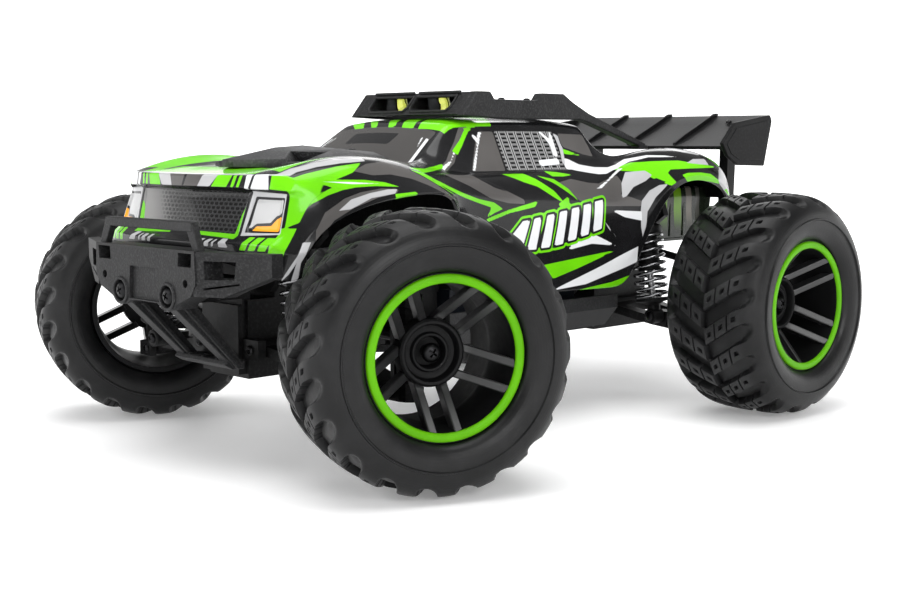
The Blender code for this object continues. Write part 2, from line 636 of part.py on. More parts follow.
def upper_link(name, side, axle_y):
    inner = Vector((side * ARM_INNER[0], axle_y, ARM_INNER[1] + LINK_RISE))
    outer = Vector((side * ARM_OUTER[0], axle_y, ARM_OUTER[1] + LINK_RISE))
    eyes = [rod(end - Vector((0, 3, 0)), end + Vector((0, 3, 0)), 2.9, 10) for end in (inner, outer)]
    piece(name, "black_plastic", [rod(inner, outer, 1.8, 8), *eyes], pivot=tuple(inner))


def carrier_spine(side, axle_y):
    """The ears that straddle the arm ends and the spine between them, shared by front and rear carriers."""
    x, z = ARM_OUTER
    spine = block((x + 3.3, axle_y - 2.8, z - 3), (x + 5.4, axle_y + 2.8, z + LINK_RISE + 4))
    solids = [spine]
    for low, high in ((-11.9, -9 - GAP), (9 + GAP, 11.9)):
        solids.append(block((x - 3.5, axle_y + low, z - 2.9), (x + 4.5, axle_y + high, z + 3.5)))
    solids.append(block((x + 3.3, axle_y - 11.8, z - 2.8), (x + 5.6, axle_y + 11.8, z + 3.2)))
    for low, high in ((-6.5, -3 - GAP), (3 + GAP, 6.5)):
        solids.append(block((x - 3, axle_y + low, z + LINK_RISE - 3), (x + 4.4, axle_y + high, z + LINK_RISE + 3)))
    solids.append(block((x + 3.3, axle_y - 6.4, z + LINK_RISE - 2.9), (x + 5.4, axle_y + 6.4, z + LINK_RISE + 4)))
    return solids


def placed(solids, side):
    """Solids modelled for the left side, mirrored to the right when side is -1."""
    if side > 0:
        return solids
    return [baked(moved(solid, Matrix.Scale(-1, 4, (1, 0, 0)))) for solid in solids]


def front_carrier(name, side):
    """The C-shaped carrier that holds the steering knuckle between its jaws."""
    x, z = ARM_OUTER
    solids = carrier_spine(side, -AXLE_Y)
    for low, high in ((29.5, 36.4), (63.6, 68)):
        solids.append(block((x + 3.9, -AXLE_Y - 5, low), (KINGPIN_X, -AXLE_Y + 5, high)))
        solids.append(rod((KINGPIN_X, -AXLE_Y, low), (KINGPIN_X, -AXLE_Y, high), 5))
    piece(name, "black_plastic", placed(solids, side), pivot=(side * x, -AXLE_Y, z))


def rear_carrier(name, side):
    x, z = ARM_OUTER
    solids = carrier_spine(side, AXLE_Y)
    inner = TRACK_HALF - 24
    solids.append(rod((inner + 1, AXLE_Y, AXLE_Z), (TRACK_HALF - 3.4, AXLE_Y, AXLE_Z), 7.5, 16))
    bore = rod((inner - 4, AXLE_Y, AXLE_Z), (TRACK_HALF, AXLE_Y, AXLE_Z), 2.9, 12)
    cuts = placed([bore], side)
    piece(name, "black_plastic", placed(solids, side), cuts, pivot=(side * x, AXLE_Y, z))


def steering_knuckle(name, side):
    """The upright on the kingpin, with the axle's sleeve and the arm that the tie rod pushes."""
    solids = [rod((KINGPIN_X, -AXLE_Y, 36.7), (KINGPIN_X, -AXLE_Y, 63.3), 4.8, 14)]
    solids.append(rod((KINGPIN_X, -AXLE_Y, AXLE_Z), (TRACK_HALF - 3.4, -AXLE_Y, AXLE_Z), 6.5, 16))
    x, y = KINGPIN_X + STEER_BALL[0], -AXLE_Y + STEER_BALL[1]
    solids.append(plate([[(KINGPIN_X - 0.6, -AXLE_Y), (x - 0.9, y - 2), (x + 2.4, y - 2), (KINGPIN_X + 3.6, -AXLE_Y)]],
                        (39.6, 42.8), "Z"))
    solids.append(rod((x, y, 39.4), (x, y, 42.9), 3, 10))
    bore = rod((KINGPIN_X - 8, -AXLE_Y, AXLE_Z), (TRACK_HALF, -AXLE_Y, AXLE_Z), 2.9, 12)
    piece(name, "black_plastic", placed(solids, side), placed([bore], side), pivot=(side * KINGPIN_X, -AXLE_Y, AXLE_Z),
          place=steer_matrix(side))


def steer_matrix(side):
    """Turns a piece modelled straight ahead about its kingpin to the angle it rests at."""
    kingpin = Vector((side * KINGPIN_X, -AXLE_Y, 0)) * MM
    turn = Matrix.Rotation(math.radians(REST_STEER), 4, "Z")
    return Matrix.Translation(kingpin) @ turn @ Matrix.Translation(-kingpin)


def shock(name, side, axle_y):
    """A shock absorber: a body with a blind bore, a rod that slides in it, and the coil spring round both."""
    y = axle_y + SHOCK_DY
    top = Vector((side * SHOCK_TOP[0], y, SHOCK_TOP[1]))
    foot = Vector((side * SHOCK_FOOT[0], y, SHOCK_FOOT[1]))
    length = (foot - top).length
    body = [(0, 8), (2.3, 8), (2.3, 27), (5.4, 27), (5.4, 9.5), (7.6, 9.5), (7.6, 6), (3.6, 4.2), (3.6, 1), (0, 1)]
    eye = rod(top - Vector((0, 3.5, 0)), top + Vector((0, 3.5, 0)), 4, 12)
    piece(f"{name}_shock_body", "black_plastic", [turned(body, top, foot, 14), eye], pivot=tuple(top))
    seat = length - 8.5
    rod_profile = [(0, length - 2), (3, length - 2), (3, seat + 1.5), (8, seat + 1.5), (8, seat), (1.6, seat),
                   (1.6, 15), (0, 15)]
    low_eye = rod(foot - Vector((0, 3.5, 0)), foot + Vector((0, 3.5, 0)), 3.6, 12)
    piece(f"{name}_shock_rod", "steel", [turned(rod_profile, top, foot, 12), low_eye], pivot=tuple(top))
    coil(f"{name}_spring", top, foot, 9.5 + 0.8 + GAP, seat - 0.8 - GAP)


def coil(name, top, foot, start, end, radius=7.4, wire=0.75, turns=8, per_turn=7):
    """A helix between two distances along the shock absorber, flat enough at both ends to sit on its seats."""
    place = along(top, foot)
    points = []
    count = turns * per_turn
    for i in range(count + 1):
        share = i / count
        rise = min(max((share - 0.06) / 0.88, 0), 1)
        angle = 2 * math.pi * turns * share
        local = Vector((radius * math.cos(angle), radius * math.sin(angle), start + (end - start) * rise))
        points.append((place @ (local * MM)) / MM)
    piece(name, "dark_chrome", [tube(points, wire, 0)], pivot=tuple(top))


# ---------------------------------------------------------------- wheels


def wheel(name, side, axle_y):
    """Axle with its hexagon, rim with five pairs of bars, and tyre, all about the wheel's own axle."""
    centre = Vector((side * TRACK_HALF, axle_y, AXLE_Z))
    place = steer_matrix(side) if axle_y < 0 else Matrix.Identity(4)
    out = Vector((side, 0, 0))

    def at(t):
        return centre + out * t

    hub = tuple(place @ (centre * MM) / MM)
    axle = [rod(at(-19.5), at(6.4), 2.5, 12), rod(at(-3), at(1), 6.2, 6)]
    piece(f"{name}_wheel_axle", "steel", axle, pivot=hub, place=place)

    half = RIM_HALF_WIDTH
    lip, inner = RIM_OUTER_RADIUS, RIM_INNER_RADIUS
    barrel = [(lip, half), (lip, -half), (inner, -half), (inner, half), (lip, half)]
    rim = [turned([(r, t + 30) for r, t in barrel], at(-30), at(0), 26, OFF_PHASE)]
    rim.append(turned([(0, 38), (8.5, 38), (8.5, 34.5), (5, 31.3), (0, 31.3)], at(-30), at(0), 14, OFF_PHASE))
    for bar in range(10):
        pair, which = divmod(bar, 2)
        angle = math.radians(90 + 72 * pair)
        rim.append(spoke(at, angle, 4.6 if which else -4.7))
    cuts = [rod(at(0), at(12), 2.8, 12), rod(at(HUB_FACE), at(12), 5.2, 12)]
    piece(f"{name}_rim", "satin_black", rim, cuts, pivot=hub, place=place)

    flat = TYRE_RADIUS / math.cos(math.pi / TYRE_STEPS)
    w = TYRE_HALF_WIDTH
    bead = lip + GAP
    profile = [(bead, w - 3.5), (36, w), (44.5, w - 1.5), (flat, w - 7.5), (flat, 7.5 - w), (44.5, 1.5 - w), (36, -w),
               (bead, 3.5 - w), (bead, w - 3.5)]
    tyre = turned([(r, t + 30) for r, t in profile], at(-30), at(0), TYRE_STEPS, math.pi / TYRE_STEPS)
    piece(f"{name}_tyre", "tyre_rubber", [tyre], pivot=hub, place=place)


def spoke(at, angle, sideways):
    """One flat bar from the hub to the barrel, rising outwards near the rim."""
    radial = Vector((0, math.cos(angle), math.sin(angle)))
    across = Vector((0, -math.sin(angle), math.cos(angle)))
    shape = bmesh.new()
    sections = []
    for distance, low, high, half in ((5.5, 2.6, 6.6, 1.7), (17, 5, 9.5, 1.7), (27.6, 11, 15.5, 1.9)):
        ring = []
        for t, w in ((low, -half), (high, -half), (high, half), (low, half)):
            ring.append(shape.verts.new((at(t) + radial * distance + across * (sideways + w)) * MM))
        sections.append(ring)
    for near, far in zip(sections, sections[1:]):
        for k in range(4):
            shape.faces.new((near[k], near[(k + 1) % 4], far[(k + 1) % 4], far[k]))
    shape.faces.new(sections[0])
    shape.faces.new(sections[-1])
    bmesh.ops.recalc_face_normals(shape, faces=shape.faces)
    return from_bmesh(shape)


def corner(name, side, axle_y):
    lower_arm(f"{name}_lower_arm", side, axle_y)
    upper_link(f"{name}_upper_link", side, axle_y)
    if axle_y < 0:
        front_carrier(f"{name}_carrier", side)
        steering_knuckle(f"{name}_knuckle", side)
    else:
        rear_carrier(f"{name}_carrier", side)
    shock(name, side, axle_y)
    wheel(name, side, axle_y)


# ---------------------------------------------------------------- assembly


def main():
    body_shell()
    rear_inner_tub()
    hood_scoop()
    roof_rack()
    rear_wing()
    wing_mount()
    chassis_tub()
    gearbox("front_gearbox", -AXLE_Y)
    gearbox("rear_gearbox", AXLE_Y)
    shock_tower("front_shock_tower", -AXLE_Y)
    shock_tower("rear_shock_tower", AXLE_Y)
    front_bumper()
    battery_pack()
    electronics_box()
    steering_servo()
    drive_motor()
    gears()
    steering_linkage()
    for name, side, axle_y in (
        ("front_left", 1, -AXLE_Y),
        ("front_right", -1, -AXLE_Y),
        ("rear_left", 1, AXLE_Y),
        ("rear_right", -1, AXLE_Y),
    ):
        corner(name, side, axle_y)
    bpy.data.collections.remove(BENCH)


main()
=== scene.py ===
"""Looks of a radio-controlled monster truck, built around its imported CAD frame."""

import json
import math

import bmesh
import bpy
import numpy as np
from mathutils import Matrix, Vector


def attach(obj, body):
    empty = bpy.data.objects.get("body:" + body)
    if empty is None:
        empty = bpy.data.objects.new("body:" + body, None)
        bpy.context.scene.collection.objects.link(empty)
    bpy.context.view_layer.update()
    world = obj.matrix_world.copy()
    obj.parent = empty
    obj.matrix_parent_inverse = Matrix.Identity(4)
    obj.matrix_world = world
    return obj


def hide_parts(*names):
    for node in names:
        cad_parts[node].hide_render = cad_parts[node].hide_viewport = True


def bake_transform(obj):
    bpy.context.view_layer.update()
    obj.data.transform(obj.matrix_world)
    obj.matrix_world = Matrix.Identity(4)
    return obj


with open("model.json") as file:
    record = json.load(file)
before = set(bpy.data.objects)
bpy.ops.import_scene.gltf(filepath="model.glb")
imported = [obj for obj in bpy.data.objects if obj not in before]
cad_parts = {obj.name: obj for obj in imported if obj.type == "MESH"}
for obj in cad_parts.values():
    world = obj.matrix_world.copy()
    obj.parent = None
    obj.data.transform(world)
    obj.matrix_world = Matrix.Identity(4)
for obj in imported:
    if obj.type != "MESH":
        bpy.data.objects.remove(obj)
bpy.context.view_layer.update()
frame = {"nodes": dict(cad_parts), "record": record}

MM = 0.001

# Driving dimensions, in millimetres, as in the CAD part
AXLE_Y = 104.0
TRACK_HALF = 98.5
AXLE_Z = 50.0
TYRE_RADIUS = 50.0
REST_STEER = math.radians(-22)
KINGPIN_X = 83.5
CORNERS = (("front_left", 1, -AXLE_Y), ("front_right", -1, -AXLE_Y), ("rear_left", 1, AXLE_Y),
           ("rear_right", -1, AXLE_Y))

# Camera, found from the truck's own straight edges
CAMERA_PLACE = (0.4522, -0.4425, 0.1230)
CAMERA_AZIMUTH = 45.76
CAMERA_PITCH = 6.38
CAMERA_LENS = 55.9
CAMERA_SHIFT_Y = -0.0028


# ---------------------------------------------------------------- meshes


def on_side(side, outline):
    """An outline drawn for the left side (1), or its mirror image on the right (-1)."""
    return [(side * x, other) for x, other in outline]


def mesh_object(name, points, faces, smooth=True):
    """A mesh from points in millimetres."""
    mesh = bpy.data.meshes.new(name)
    mesh.from_pydata([Vector(point) * MM for point in points], [], faces)
    mesh.validate()
    shape = bmesh.new()
    shape.from_mesh(mesh)
    bmesh.ops.recalc_face_normals(shape, faces=shape.faces)
    shape.to_mesh(mesh)
    shape.free()
    mesh.polygons.foreach_set("use_smooth", [smooth] * len(mesh.polygons))
    return linked(name, mesh)


def linked(name, mesh):
    """A mesh as an object of the scene."""
    obj = bpy.data.objects.new(name, mesh)
    bpy.context.scene.collection.objects.link(obj)
    return obj


def joined(name, objects):
    """One object from several, with their modifiers applied and their materials kept."""
    graph = bpy.context.evaluated_depsgraph_get()
    materials = []
    shape = bmesh.new()
    for obj in objects:
        graph.update()
        mesh = bpy.data.meshes.new_from_object(obj.evaluated_get(graph))
        mesh.transform(obj.matrix_world)
        slots = []
        for material in obj.data.materials:
            if material not in materials:
                materials.append(material)
            slots.append(materials.index(material))
        start = len(shape.faces)
        shape.from_mesh(mesh)
        shape.faces.ensure_lookup_table()
        for face in shape.faces[start:]:
            face.material_index = slots[face.material_index] if slots else 0
        bpy.data.meshes.remove(mesh)
    merged = bpy.data.meshes.new(name)
    shape.to_mesh(merged)
    shape.free()
    for material in materials:
        merged.materials.append(material)
    for obj in objects:
        bpy.data.objects.remove(obj)
    return linked(name, merged)


def painted(obj, *materials):
    """The object with these materials in place of its own."""
    obj.data.materials.clear()
    for material in materials:
        obj.data.materials.append(material)
    return obj


def bevelled(obj, width, segments=2, angle=30):
    """Rounds the edges sharper than an angle, and shades the flats flat."""
    bevel = obj.modifiers.new("rounded edges", "BEVEL")
    bevel.width = width * MM
    bevel.segments = segments
    bevel.limit_method = "ANGLE"
    bevel.angle_limit = math.radians(angle)
    bevel.harden_normals = True
    return obj


# Where the two numbers of an outline and the height along the axis go
AXIS_ORDER = {
    "X": lambda u, v, w: (w, u, v),
    "Y": lambda u, v, w: (u, w, v),
    "Z": lambda u, v, w: (u, v, w),
}


def prism_faces(count):
    """The faces between two rings of points: both ends, then one side face per edge."""
    faces = [tuple(range(count)), tuple(range(count, 2 * count))]
    return faces + [(k, (k + 1) % count, count + (k + 1) % count, count + k) for k in range(count)]


def plate(name, outline, low, high, axis="Z", width=0.4, segments=2):
    """An outline pushed out along an axis, with rounded edges.

    Along X it is a list of (y, z), along Y of (x, z) and along Z of (x, y).
    """
    points = [AXIS_ORDER[axis](u, v, w) for w in (low, high) for u, v in outline]
    obj = mesh_object(name, points, prism_faces(len(outline)))
    return bevelled(obj, width, segments) if width else obj


def block(name, low, high, width=0.4, segments=2):
    """A box between two opposite corners, with rounded edges."""
    (x0, y0, z0), (x1, y1, z1) = low, high
    return plate(name, [(x0, y0), (x1, y0), (x1, y1), (x0, y1)], z0, z1, "Z", width, segments)


def along(start, end):
    """Places a shape modelled along Z from the origin so that it runs from start towards end."""
    start, end = Vector(start), Vector(end)
    turn = (end - start).to_track_quat("Z", "Y").to_matrix().to_4x4()
    return Matrix.Translation(start * MM) @ turn


def turned(name, profile, start=(0, 0, 0), end=(0, 0, 1), steps=48, sharp=35):
    """A profile of (radius, distance along start to end) turned about that line. Radius 0 closes an end."""
    rings = []
    points = []
    for radius, height in profile:
        if radius < 1e-6:
            rings.append([len(points)])
            points.append((0, 0, height))
            continue
        ring = []
        for k in range(steps):
            angle = 2 * math.pi * k / steps
            ring.append(len(points))
            points.append((radius * math.cos(angle), radius * math.sin(angle), height))
        rings.append(ring)
    faces = []
    for a, b in zip(rings, rings[1:]):
        for k in range(steps):
            after = (k + 1) % steps
            quad = [a[k % len(a)], a[after % len(a)], b[after % len(b)], b[k % len(b)]]
            corners = tuple(dict.fromkeys(quad))
            if len(corners) > 2:
                faces.append(corners)
    obj = mesh_object(name, points, faces)
    obj.data.transform(along(start, end))
    return sharpened(obj, sharp)


def sharpened(obj, angle):
    """Marks edges sharper than an angle, so that they shade crisply."""
    shape = bmesh.new()
    shape.from_mesh(obj.data)
    for edge in shape.edges:
        if len(edge.link_faces) == 2 and edge.calc_face_angle() > math.radians(angle):
            edge.smooth = False
    shape.to_mesh(obj.data)
    shape.free()
    return obj


def tube(name, path, radius, sides=10, closed=False):
    """A round bar swept along points, with domed ends unless the path is closed."""
    path = [Vector(point) for point in path]
    count = len(path)
    points, rings = [], []
    normal = None
    for i, place in enumerate(path):
        before = path[i - 1] if closed or i else path[i]
        after = path[(i + 1) % count] if closed or i < count - 1 else path[i]
        direction = (after - before).normalized()
        if normal is None:
            normal = direction.orthogonal().normalized()
        normal = (normal - direction * normal.dot(direction)).normalized()
        side = direction.cross(normal)
        rings.append([])
        for k in range(sides):
            angle = 2 * math.pi * k / sides
            rings[-1].append(len(points))
            points.append(place + (normal * math.cos(angle) + side * math.sin(angle)) * radius)
    faces = []
    runs = list(zip(rings, rings[1:])) + ([(rings[-1], rings[0])] if closed else [])
    for a, b in runs:
        faces += [(a[k], a[(k + 1) % sides], b[(k + 1) % sides], b[k]) for k in range(sides)]
    if not closed:
        faces += [tuple(rings[0]), tuple(rings[-1])]
    return sharpened(mesh_object(name, points, faces), 50)


# ---------------------------------------------------------------- materials


class Shader:
    """Short names for the nodes of one procedural material."""

    def __init__(self, name):
        self.material = bpy.data.materials.new(name)
        self.material.use_nodes = True
        self.tree = self.material.node_tree
        self.surface = self.tree.nodes["Principled BSDF"]

    def value(self, **settings):
        """Sets plain values on the Principled shader's own sockets."""
        for key, number in settings.items():
            self.surface.inputs[key.replace("_", " ").title().replace("Ior", "IOR")].default_value = number
        return self

    def node(self, kind, *links, **settings):
        made = self.tree.nodes.new(kind)
        for key, setting in settings.items():
            setattr(made, key, setting)
        for slot, source in links:
            self.feed(made.inputs[slot], source)
        return made

    def feed(self, socket, source):
        if isinstance(source, bpy.types.NodeSocket):
            self.tree.links.new(source, socket)
        elif isinstance(source, (tuple, list)) and socket.type == "RGBA":
            socket.default_value = (*source[:3], 1)
        else:
            socket.default_value = source

    def into(self, name, source):
        self.feed(self.surface.inputs[name], source)
        return self

    def math(self, operation, a, b=0.0, clamp=False):
        made = self.node("ShaderNodeMath", (0, a), (1, b), operation=operation, use_clamp=clamp)
        return made.outputs[0]

    def times(self, a, b):
        return self.math("MULTIPLY", a, b)

    def plus(self, a, b):
        return self.math("ADD", a, b)

    def inverse(self, value):
        """1 where the value is 0, and 0 where it is 1."""
        return self.math("SUBTRACT", 1.0, value)

    def step(self, value, low, high):
        """0 below low, 1 above high, smooth in between."""
        made = self.node("ShaderNodeMapRange", (0, value), (1, low), (2, high),
                         interpolation_type="SMOOTHSTEP")
        return made.outputs[0]

    def rough(self, value, low, high):
        """Roughness from low where the value is 0 to high where it is 1."""
        made = self.node("ShaderNodeMapRange", (0, value), (3, low), (4, high))
        return self.into("Roughness", made.outputs[0])

    def mix(self, factor, a, b):
        made = self.node("ShaderNodeMix", data_type="RGBA")
        self.feed(made.inputs[0], factor)
        self.feed(made.inputs[6], a)
        self.feed(made.inputs[7], b)
        return made.outputs[2]

    def place(self):
        """Position in the row frame, in millimetres, as three sockets."""
        coordinates = self.node("ShaderNodeTexCoord")
        split = self.node("ShaderNodeSeparateXYZ", (0, coordinates.outputs["Object"]))
        return [self.times(split.outputs[k], 1000.0) for k in range(3)]

    def noise(self, scale, detail=3.0, rough=0.55):
        coordinates = self.node("ShaderNodeTexCoord").outputs["Object"]
        made = self.node("ShaderNodeTexNoise", ("Vector", coordinates), ("Scale", scale), ("Detail", detail),
                         ("Roughness", rough))
        return made.outputs["Fac"]

    def attribute(self, name):
        return self.node("ShaderNodeAttribute", attribute_name=name).outputs["Fac"]

    def bump(self, height, strength, depth):
        made = self.node("ShaderNodeBump", ("Height", height), ("Strength", strength),
                         ("Distance", depth * MM))
        return self.into("Normal", made.outputs[0])

    def edge_wear(self, amount=0.6):
        """How convex the surface is here, from 0 to 1."""
        made = self.node("ShaderNodeNewGeometry").outputs["Pointiness"]
        return self.times(self.step(made, 0.52, 0.62), amount)


WORN_GAIN = 2.2  # how much brighter rubbed black plastic is


def moulded_plastic(name, dark, light, grain_scale, grain_depth, roughness=(0.42, 0.6), shine=0.2):
    """Black nylon with a spark-eroded grain and rubbed edges."""
    s = Shader(name).value(specular_ior_level=shine)
    grain = s.noise(grain_scale, 2.0, 0.6)
    broad = s.noise(45.0, 3.0)
    tone = s.mix(s.step(broad, 0.3, 0.7), dark, light)
    worn = [c * WORN_GAIN for c in light]
    speck = s.mix(s.step(grain, 0.45, 0.7), tone, worn)
    s.into("Base Color", s.mix(s.edge_wear(0.35), speck, worn))
    s.rough(grain, *roughness)
    s.bump(grain, 0.55, grain_depth)
    return s.material


def tyre_rubber():
    """Soft rubber: matt on the tread blocks, a little shinier and finely lined on the sidewall."""
    s = Shader("tyre_rubber")
    radius = s.attribute("wheel_radius")
    fine = s.noise(900.0, 3.0, 0.6)
    broad = s.noise(60.0, 4.0, 0.6)
    lines = s.node("ShaderNodeMath", (0, s.times(radius, 6.5)), operation="SINE").outputs[0]
    tread = s.step(radius, 44.5, 46.5)
    # Painted light: the tops of the blocks get a lighter colour than the grooves as a painted highlight, and
    # the grooves stay darker as painted shade.
    lit_block_top_paint = s.step(radius, 47.6, 49.4)
    dust = s.times(s.step(broad, 0.40, 0.75), 0.8)
    base = s.mix(dust, (0.004, 0.004, 0.0043), (0.012, 0.012, 0.0125))
    s.into("Base Color", s.mix(lit_block_top_paint, base, s.mix(dust, (0.013, 0.013, 0.0135), (0.028, 0.028, 0.029))))
    patchy = s.times(s.step(s.noise(22.0, 4.0, 0.6), 0.35, 0.7), 0.16)
    smooth = s.plus(s.times(tread, 0.10), s.plus(s.times(fine, 0.12), 0.24))
    s.into("Roughness", s.plus(smooth, patchy))
    height = s.plus(fine, s.times(lines, s.times(s.inverse(tread), 0.12)))
    s.value(specular_ior_level=0.25)
    s.bump(height, 0.35, 0.12)
    return s.material


def metal(name, color, roughness, scale=500.0):
    """Plated or plain steel with fine handling marks."""
    s = Shader(name).value(metallic=1.0)
    marks = s.noise(scale, 4.0, 0.6)
    s.into("Base Color", s.mix(s.step(marks, 0.3, 0.8), color, [c * 0.8 for c in color]))
    s.rough(marks, roughness * 0.7, roughness * 1.4)
    s.bump(marks, 0.15, 0.03)
    return s.material


def satin_paint(name, color, roughness=0.32, shine=0.5):
    """Smooth moulded plastic with a satin finish and faint orange peel."""
    s = Shader(name).value(specular_ior_level=shine)
    peel = s.noise(350.0, 2.0, 0.5)
    broad = s.noise(40.0, 3.0)
    s.into("Base Color", s.mix(s.step(broad, 0.3, 0.75), color, [c * 1.25 for c in color]))
    s.rough(peel, roughness * 0.85, roughness * 1.2)
    s.bump(peel, 0.12, 0.05)
    return s.material


def clear_lens():
    """Clear plastic that hardly bends the light."""
    s = Shader("lens").value(transmission_weight=1.0, ior=1.03, base_color=(0.95, 0.97, 0.97, 1))
    s.rough(s.noise(300.0), 0.02, 0.08)
    return s.material


def lamp_chip():
    """The yellow phosphor of a light-emitting diode."""
    s = Shader("lamp_chip")
    yellow = s.mix(s.step(s.noise(900.0), 0.35, 0.65), (0.62, 0.62, 0.10), (0.80, 0.80, 0.22))
    s.into("Base Color", yellow)
    s.value(roughness=0.35, emission_color=(0.75, 0.80, 0.12, 1), emission_strength=0.6)
    return s.material


BLACK_GRAIN = moulded_plastic("black_grain", (0.008, 0.008, 0.0085), (0.014, 0.014, 0.0145), 1100.0, 0.3)
PANEL_GRAIN = moulded_plastic("panel_grain", (0.020, 0.020, 0.0205), (0.036, 0.036, 0.037), 1100.0, 0.3)
# Near-black nylon, darkened further as painted shade so that the parts under the truck look shaded.
BLACK_NYLON_SHADE_DARKENED = moulded_plastic("black_nylon_shade_darkened", (0.003, 0.003, 0.0032), (0.006, 0.006, 0.0062), 700.0, 0.05,
                              (0.34, 0.52), 0.13)
WING_BLACK = moulded_plastic("wing_black", (0.0035, 0.0035, 0.0037), (0.0065, 0.0065, 0.0068), 900.0, 0.06,
                             (0.42, 0.56), 0.1)
RUBBER = tyre_rubber()
RIM_BLACK = satin_paint("rim_black", (0.003, 0.003, 0.0033), 0.46, 0.14)
# The bars are the same black plastic as the barrel. Their lighter colour is a painted highlight where they
# catch the light.
RIM_BARS_PAINTED_LIT = satin_paint("rim_bars", (0.012, 0.012, 0.0125), 0.3, 0.8)
LIME_RING = satin_paint("lime_ring", (0.085, 0.32, 0.001), 0.4, 0.12)
DARK_CHROME = metal("dark_chrome", (0.30, 0.30, 0.31), 0.16)
STEEL = metal("steel", (0.50, 0.50, 0.51), 0.28)
BLACK_STEEL = metal("black_steel", (0.022, 0.022, 0.023), 0.36)
CLEAR = clear_lens()
CHIP = lamp_chip()
WRAP = satin_paint("battery_wrap", (0.006, 0.008, 0.012), 0.3, 0.2)
GEAR = satin_paint("nylon_gear", (0.035, 0.035, 0.037), 0.4)


# ---------------------------------------------------------------- screws


def screw_head():
    """A pan-head cross-recess screw head, 1 mm in radius, standing on Z = 0. It is scaled to each place."""
    profile = [(0, 0.62), (0.35, 0.6), (0.65, 0.52), (0.88, 0.36), (0.98, 0.16), (1, 0.0), (0.9, -0.12),
               (0, -0.12)]
    head = turned("screw_head", profile, steps=28, sharp=60)
    corners = ((-1, -0.13), (1, -0.13), (1, 0.13), (-1, 0.13))
    for angle in (0.0, math.pi / 2):
        points = [(x * reach, y * width, z) for z, reach, width in ((0.1, 0.3, 0.6), (0.9, 0.62, 1.0))
                  for x, y in corners]
        slot = mesh_object("slot", points, prism_faces(len(corners)))
        slot.data.transform(Matrix.Rotation(angle, 4, "Z"))
        cut = head.modifiers.new("cross", "BOOLEAN")
        cut.operation = "DIFFERENCE"
        cut.solver = "EXACT"
        cut.object = slot
        cut_head = joined("screw_head", [head])
        bpy.data.objects.remove(slot)
        head = cut_head
    mesh = sharpened(head, 40).data
    bpy.data.objects.remove(head)
    return mesh


def screws(name, body, places, material):
    """Screw heads at (point, outward direction, radius, turn in degrees), made into one piece."""
    shape = bmesh.new()
    for point, outward, radius, spin in places:
        before = len(shape.verts)
        shape.from_mesh(SCREW_HEAD)
        shape.verts.ensure_lookup_table()
        place = along(point, Vector(point) + Vector(outward)) @ Matrix.Rotation(math.radians(spin), 4, "Z")
        bmesh.ops.transform(shape, matrix=place @ Matrix.Scale(radius, 4), verts=shape.verts[before:])
    mesh = bpy.data.meshes.new(name)
    shape.to_mesh(mesh)
    shape.free()
    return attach(painted(linked(name, mesh), material), body)


# ---------------------------------------------------------------- tyres

TREAD_PITCHES = 20
TREAD_DEPTH = 3.2
BLOCK_LENGTH = 7.0  # along the tread, out of a pitch of 15.7
BLOCK_CENTRES = (3.1, 9.1, 15.3)  # across the tread, from the middle
SIPES = ((5.6, 6.4), (11.8, 12.6))
GROOVE_END = 24.6
SIPE_DEPTH = 1.7
HOLE_DEPTH = 1.5
HOLE_HALF = 0.8
CENTRE_SLIT = 0.65  # half the width of the slit round the middle of the tread
CORNER_CUT = 0.12
# (distance from the tyre's middle plane, radius) from the tread's middle to the bead
TYRE_PROFILE = [(0, 50), (6, 49.95), (12, 49.65), (16.5, 48.9), (20, 47.2), (22.6, 44.8), (24.2, 42),
                (24.9, 39), (24.9, 36), (24.2, 33), (22.9, 30.8), (21.6, 29.8), (20.6, 29.4)]


def smooth_step(value):
    """0 to 1 with a soft start and end."""
    value = min(max(value, 0.0), 1.0)
    return value * value * (3 - 2 * value)


def curve_through(points, count):
    """Evenly spaced points on a Catmull-Rom curve, with the distance along it."""
    dense = []
    for i in range(len(points) - 1):
        p0, p1, p2 = (Vector(points[max(i + k, 0)]) for k in (-1, 0, 1))
        p3 = Vector(points[min(i + 2, len(points) - 1)])
        for k in range(24):
            t = k / 24
            dense.append(0.5 * (2 * p1 + (p2 - p0) * t + (2 * p0 - 5 * p1 + 4 * p2 - p3) * t * t
                                + (3 * p1 - p0 - 3 * p2 + p3) * t ** 3))
    dense.append(Vector(points[-1]))
    lengths = np.concatenate([[0], np.cumsum([(b - a).length for a, b in zip(dense, dense[1:])])])
    distances = np.linspace(0, lengths[-1], count)
    table = np.array([tuple(p) for p in dense])
    places = np.stack([np.interp(distances, lengths, table[:, k]) for k in range(table.shape[1])], -1)
    return distances, places


def tread_lines():
    """Distances from the tyre's middle at which the mesh has a line: close together at each step."""
    lines = [0, 0.3, CENTRE_SLIT]
    for centre in BLOCK_CENTRES:
        lines += [centre - 1.15, centre - 0.75, centre + 0.75, centre + 1.15]
    for low, high in SIPES:
        lines += [low, low + 0.22, high - 0.22, high]
    lines += [17.8, 18.8, 19.8, 20.8, 21.6, 22.4, 23.1, 23.8, 24.5, 25.3, 26.4, 27.6, 29.2]
    lines += [30.2, 30.5, 30.9, 31.2]  # the rib on the sidewall
    return sorted(lines + [32.6, 34.2, 35.8, 37.4, 38.8, 40.2, 41.2])


def pitch_lines():
    """Distances along the tread within one pitch, from the leading wall of a block."""
    half = BLOCK_LENGTH / 2
    block_lines = [0, 0.3, 0.7, half - 1.15, half - 0.75, half + 0.75, half + 1.15]
    block_lines += [BLOCK_LENGTH - 0.7, BLOCK_LENGTH - 0.3, BLOCK_LENGTH]
    return block_lines + [7.7, 8.7, 10.0, 11.35, 12.7, 14.0, 15.0]


def tread_slant(across):
    """How far the arms of the chevrons have run round the tyre at this distance from its middle."""
    return 0.64 * min(across, 15.0) + 3.4 * smooth_step((across - 13) / 12)


